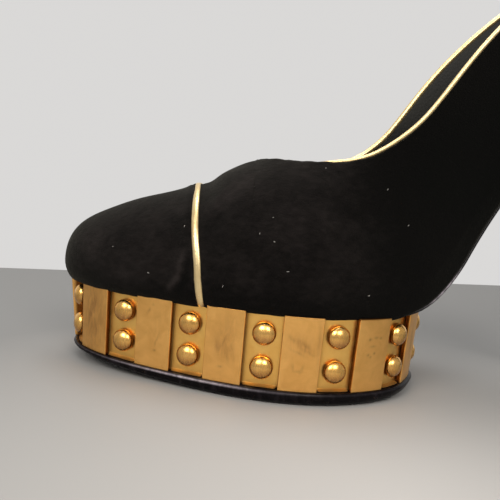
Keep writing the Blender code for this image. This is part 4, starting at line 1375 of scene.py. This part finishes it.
def make_soles(polished, edge_polish, lining):
    """Outsole under the platform, the sole with its lip under the arch, and the insole."""
    shape = plate(OUTSOLE_EDGE, platform_sides, platform_place(outsole_low, outsole_high))
    outsole = add_piece("outsole_leather", shape, polished, ["outsole"])
    add_values(outsole, "rim", rim_highlight_values(shape[0]))
    board = plate(SOLE_EDGE, footbed_outline(0.0, SOLE_LENGTH), footbed_place)
    lip = plate(LIP_EDGE, footbed_outline(LIP_START, LIP_END), footbed_place)
    shape = join([board, lip])
    sole = add_piece("sole_leather", shape, edge_polish, ["sole"])
    add_values(sole, "rim", lip_highlight_values(shape[0]))
    shape = plate(INSOLE_EDGE, footbed_outline(0.0, SOLE_LENGTH), footbed_place)
    add_piece("insole_sock", shape, lining, ["insole"])


# Platform


def make_core(look):
    """The dark body of the platform, behind the gold sheet and up to the sole."""
    place = platform_place(outsole_high, core_high)
    shape = plate(((CORE_INSET, 0.0), (CORE_INSET, 1.0)), platform_sides, place)
    add_piece("platform_core", shape, look)


def recess_values(turns):
    """Round the platform: where the sheet's foot bends out, and how near the corner after a bar is."""
    foot = np.zeros(len(turns))
    corner = np.zeros(len(turns))
    for index in range(BAR_COUNT):
        middle = recess_middle(index)
        half = bar_start(index) - middle
        past = np.mod(turns - middle + half, LOOP_LENGTH[-1])
        foot += smooth(past / PANEL_FOOT_BLEND) * smooth((2.0 * half - past) / PANEL_FOOT_BLEND)
        corner += np.exp(-past / CORNER_REACH)
    return foot, corner


def make_panel(look):
    """A gold sheet round the core, whose foot bends out over the outsole between the bars."""
    turns = np.linspace(0.0, LOOP_LENGTH[-1], PANEL_STATIONS, endpoint=False)
    low = PANEL_LEDGE / WALL_HEIGHT
    front = low + (1.0 - low) * np.linspace(0.0, 1.0, PANEL_ROWS) ** 2
    shares = np.array([low, *front, 1.0])
    above = (shares - low) * WALL_HEIGHT
    backs = np.array([PANEL_THICKNESS, *[0.0] * PANEL_ROWS, PANEL_THICKNESS])
    foot, corner = recess_values(turns)
    bend = PANEL_FOOT * bell(above, PANEL_FOOT_HEIGHT)
    # The first row is the back of the sheet, which stays straight
    bend[0] = 0.0
    outs = foot[:, None] * bend - BAR_PROUD - backs
    points, faces = tube(on_wall(turns[:, None], outs, np.tile(shares, (PANEL_STATIONS, 1))), True)
    panel = add_piece("platform_panel", (points, faces), look, ["platform"])
    # Soiling and painted shade along the foot, painted shade at the toe and in the corner after each bar
    grime_and_shade = FOOT_GRIME_AND_SHADE * np.tile(np.exp(-above / FOOT_GRIME_AND_SHADE_HEIGHT), PANEL_STATIONS)
    grime_and_shade = np.maximum(grime_and_shade, TOE_SHADE * bell(points[:, 0] - PLATFORM_TIP_X, TOE_SHADE_REACH))
    grime_and_shade = np.maximum(grime_and_shade, CORNER_SHADE * np.repeat(corner, len(shares)))
    add_values(panel, "grime_and_shade", grime_and_shade)
    add_bevel(panel, PANEL_BEVEL)


def stain_values(index, across, up):
    """How stained a bar is at places across and up its face."""
    total = np.zeros(len(across))
    for stain in STAINS:
        if stain["bar"] != index + 1:
            continue
        lean = math.radians(stain["lean"])
        right = (across - stain["across"]) * BAR_WIDTH
        above = (up - stain["up"]) * WALL_HEIGHT
        wide = (right * math.cos(lean) + above * math.sin(lean)) / stain["half_width"]
        tall = (above * math.cos(lean) - right * math.sin(lean)) / stain["half_height"]
        total += stain["strength"] * np.exp(-(wide**2) - tall**2)
    return np.clip(total, 0.0, 1.0)


def make_bars(look):
    """Flat gold bars with crisp but softened edges."""
    heights = np.linspace(BAR_FOOT, 1.0, BAR_UP)
    across, up = np.meshgrid(np.linspace(0.0, 1.0, BAR_ACROSS), heights, indexing="ij")
    count = across.size
    grid = np.arange(count).reshape(across.shape)
    rim = np.concatenate([grid[:, 0], grid[-1, 1:], grid[::-1, -1][1:], grid[0, ::-1][1:]])
    sides = np.stack([rim[:-1], rim[1:], rim[1:] + count, rim[:-1] + count], -1)
    quads = [grid_quads(*across.shape), grid_quads(*across.shape, count, True), sides]
    faces = np.concatenate(quads).tolist()
    # Painted shade along the top edge of each face, where the suede hangs over it
    top_shade = BAR_TOP_SHADE * smooth((up.reshape(-1) - 1.0 + BAR_TOP_REACH) / BAR_TOP_REACH)
    for index in range(BAR_COUNT):
        turns = bar_start(index) + BAR_WIDTH * across
        plain, _ = on_loop(turns, np.zeros_like(turns))
        lean = toe_flare(plain[..., 0]) * (TOE_FLARE_LOW + (1.0 - TOE_FLARE_LOW) * up)
        front = on_wall(turns, lean, up)
        back = on_wall(turns, np.full_like(turns, GAP - BAR_PROUD), up)
        points = np.concatenate([front.reshape(-1, 3), back.reshape(-1, 3)])
        name = f"bar_{index + 1:02d}"
        bar = add_piece(f"{name}_plate", (points, faces), look, [name])
        stain = stain_values(index, across.reshape(-1), up.reshape(-1))
        add_values(bar, "stain", np.tile(stain, 2))
        # The back points get full painted shade, so the side walls are painted dark
        add_values(bar, "wall", np.concatenate([top_shade, np.ones(count)]))
        add_bevel(bar, BAR_BEVEL)


def stud_rings():
    """Radius and height of a stud's rings, from the middle of its base to its crown."""
    _, rim_height = STUD_PROFILE[-1]
    turns = np.linspace(0.0, math.pi / 2.0, STUD_DOME_RINGS)[1:]
    dome = [(math.cos(turn), rim_height + (1.0 - rim_height) * math.sin(turn)) for turn in turns]
    return np.array([*STUD_PROFILE, *dome]) * (STUD_RADIUS, STUD_HEIGHT)


def make_studs(look):
    """Two domed studs in each recess between bars."""
    rings = stud_rings()
    quads_of_rings = cells(ring_numbers(len(rings), STUD_SEGMENTS))
    meshes, feet, lows, nodes = [], [], [], []
    for index in range(BAR_COUNT):
        middle = np.asarray(recess_middle(index) + STUD_SHIFTS.get(index, 0.0))
        for level, share, drop in zip("ab", STUD_LEVELS, STUD_DROPS.get(index, (0.0, 0.0))):
            centre = on_wall(middle, np.asarray(GAP - BAR_PROUD), np.asarray(share))
            centre[2] -= drop
            _, outward = on_loop(middle, np.asarray(0.0))
            out = np.array([*outward, 0.0])
            spokes = circle(STUD_SEGMENTS, np.array([-outward[1], outward[0], 0.0]), UP)
            points = centre + rings[:, None, :1] * spokes + rings[:, None, 1:] * out
            points, quads, first = weld(points.reshape(-1, 3), quads_of_rings)
            meshes.append((points, plain_faces(quads)))
            height = np.repeat(rings[:, 1], STUD_SEGMENTS)[first] / STUD_HEIGHT
            # Where the painted shade falls: round the foot and on the lower half of each dome
            feet.append(fade_out(height, 0.0, STUD_FOOT_REACH))
            lows.append(smooth((centre[2] - points[:, 2]) / STUD_RADIUS + STUD_LOW_SHADE_START))
            nodes.append(f"stud_{index + 1:02d}{level}")
    studs = add_piece("studs_polished", join(meshes), look, nodes)
    add_values(studs, "foot", np.concatenate(feet))
    add_values(studs, "low", np.concatenate(lows))


# Heel


def heel_lines():
    """Seat of the heel from the inner front corner round the back, and the matching line of its tip."""
    distance = stations(HEEL_START, SOLE_LENGTH, HEEL_STEPS + 1)
    sides = plate_outline(distance, edge(distance, "inner"), edge(distance, "outer"), HEEL_INSET)
    lines = []
    for (where, half), side in zip(sides, SIDES):
        along, height = on_path(where, HEEL_RAISE - SOLE_DROP - GAP)
        across = edge(where, "centre") + side * np.maximum(half, 0.0)
        lines.append(np.stack([along, across, height], -1))
    seat = there_and_back(*lines)
    angle = np.linspace(-HEEL_TIP_TURN, HEEL_TIP_TURN, len(seat))
    along = HEEL_TIP_X + HEEL_TIP_HALF_LENGTH * np.cos(angle)
    across = HEEL_TIP_Y + HEEL_TIP_HALF_WIDTH * np.sin(angle)
    return seat, np.stack([along, across, np.full(len(seat), HEEL_TIP_HEIGHT + GAP)], -1)


def heel_ring(line):
    """A line closed across the front of the heel, as an evenly spaced ring with softened corners."""
    front = line[-1] + (line[0] - line[-1]) * np.linspace(0.0, 1.0, HEEL_STEPS // 2)[1:-1, None]
    half = len(front) // 2
    ring = np.concatenate([front[half:], line, front[: half + 1]])
    length = lengths_along(ring)
    places = np.linspace(0.0, length[-1], HEEL_RING, endpoint=False)
    even = np.stack([np.interp(places, length, values) for values in ring.T], -1)
    shifts = np.arange(-HEEL_SMOOTHING_REACH, HEEL_SMOOTHING_REACH + 1)
    weights = bell(shifts, HEEL_SMOOTHING * math.sqrt(2.0))
    shifted = [np.roll(even, shift, axis=0) for shift in shifts]
    return np.tensordot(weights / weights.sum(), np.array(shifted), 1)


def make_heel(suede, rubber):
    """A slim suede-covered heel, and its rubber lift."""
    seat, tip = heel_lines()
    rings = []
    for level in np.linspace(0.0, 1.0, HEEL_LEVELS + 1):
        drawn_in = 1.0 - (1.0 - level) ** HEEL_NARROWING
        line = seat + (tip - seat) * drawn_in
        line[:, 2] = seat[:, 2] + (tip[:, 2] - seat[:, 2]) * level
        rings.append(heel_ring(line))
    heel = add_piece("heel_suede", tube(rings, False), suede, ["heel"])
    add_values(heel, "nap_and_shade", np.zeros(len(heel.data.vertices)))
    outline = heel_ring(tip)
    middle = outline.mean(axis=0)
    spokes = unit((outline - middle) * (1.0, 1.0, 0.0))
    rings = []
    for inset, level in HEEL_TIP_EDGE:
        ring = outline - spokes * inset
        ring[:, 2] = level
        rings.append(ring)
    add_piece("heel_lift", tube(rings, False), rubber, ["heel_tip"])


# Stage


def make_floor():
    """A pale floor with a painted pool of light, brightest in front of the shoe and darker further out.
    """
    look = Look("floor", Roughness=0.6, Specular_IOR_Level=0.25)
    apart = look.add("VectorMath", {0: look.place, 1: FLOOR_POOL_CENTRE}, operation="DISTANCE")
    # Painted pool of light: the floor is paler near its middle
    tone = look.shade(apart.outputs["Value"], 0.0, FLOOR_POOL_REACH, FLOOR_LIT, FLOOR_UNLIT)
    mesh = bpy.data.meshes.new("floor")
    corners = [(*corner, FLOOR_LEVEL) for corner in FLOOR_CORNERS]
    mesh.from_pydata(corners, [], [tuple(range(len(corners)))])
    mesh.materials.append(look.done(tone))
    floor = add_object("floor", mesh)


def make_lights():
    """Soft boxes in front and above, and surroundings that are brighter behind the shoe."""
    for light in LIGHTS:
        lamp = bpy.data.lights.new(light["name"], "AREA")
        lamp.size = light["size"]
        lamp.energy = light["power"]
        lamp.color = light["colour"]
        item = add_object(light["name"], lamp)
        item.location = light["place"]
        towards = mathutils.Vector(LIGHT_TARGET) - item.location
        item.rotation_euler = towards.to_track_quat("-Z", "Y").to_euler()
    world = bpy.data.worlds.new("studio")
    bpy.context.scene.world = world
    world.use_nodes = True
    tree = world.node_tree
    place = tree.nodes.new("ShaderNodeTexCoord").outputs["Generated"]
    split = tree.nodes.new("ShaderNodeSeparateXYZ")
    ramp = tree.nodes.new("ShaderNodeValToRGB")
    ramp.color_ramp.elements[0].color = WORLD_FRONT
    ramp.color_ramp.elements[1].position = WORLD_BACK_START
    ramp.color_ramp.elements[1].color = WORLD_BACK
    tree.links.new(place, split.inputs["Vector"])
    tree.links.new(split.outputs["Y"], ramp.inputs["Fac"])
    tree.links.new(ramp.outputs["Color"], tree.nodes["Background"].inputs["Color"])


def make_camera():
    """The photograph's viewpoint."""
    data = bpy.data.cameras.new("camera")
    data.sensor_width = SENSOR_WIDTH
    data.lens = CAMERA_FOCAL / IMAGE_WIDTH * SENSOR_WIDTH
    data.clip_start = CLIP_START
    camera = add_object("camera", data)
    place = mathutils.Matrix.Translation(mathutils.Vector(CAMERA_PLACE) * MM)
    tilt = math.pi / 2.0 - math.radians(CAMERA_ELEVATION)
    aim = mathutils.Euler((tilt, 0.0, math.radians(CAMERA_AZIMUTH))).to_matrix().to_4x4()
    camera.matrix_world = place @ aim @ mathutils.Matrix.Rotation(math.radians(CAMERA_ROLL), 4, "Z")
    bpy.context.scene.camera = camera


def main():
    suede = suede_look()
    lining = lining_look()
    gold_leather = gold_leather_look()
    polished = polished_sole_look("outsole_polish", *OUTSOLE_POLISH)
    edge_polish = polished_sole_look("sole_polish", *SOLE_POLISH)
    make_upper(suede, lining)
    make_vamp_piping(gold_leather)
    make_lint(lint_look())
    make_topline_piping(gold_leather)
    make_soles(polished, edge_polish, lining)
    make_core(polished)
    make_panel(panel_look())
    make_bars(bar_look())
    make_studs(stud_look())
    make_heel(suede, rubber_look())
    make_floor()
    make_lights()
    make_camera()
    bpy.context.scene.view_settings.view_transform = "Standard"


main()
bpy.context.view_layer.update()
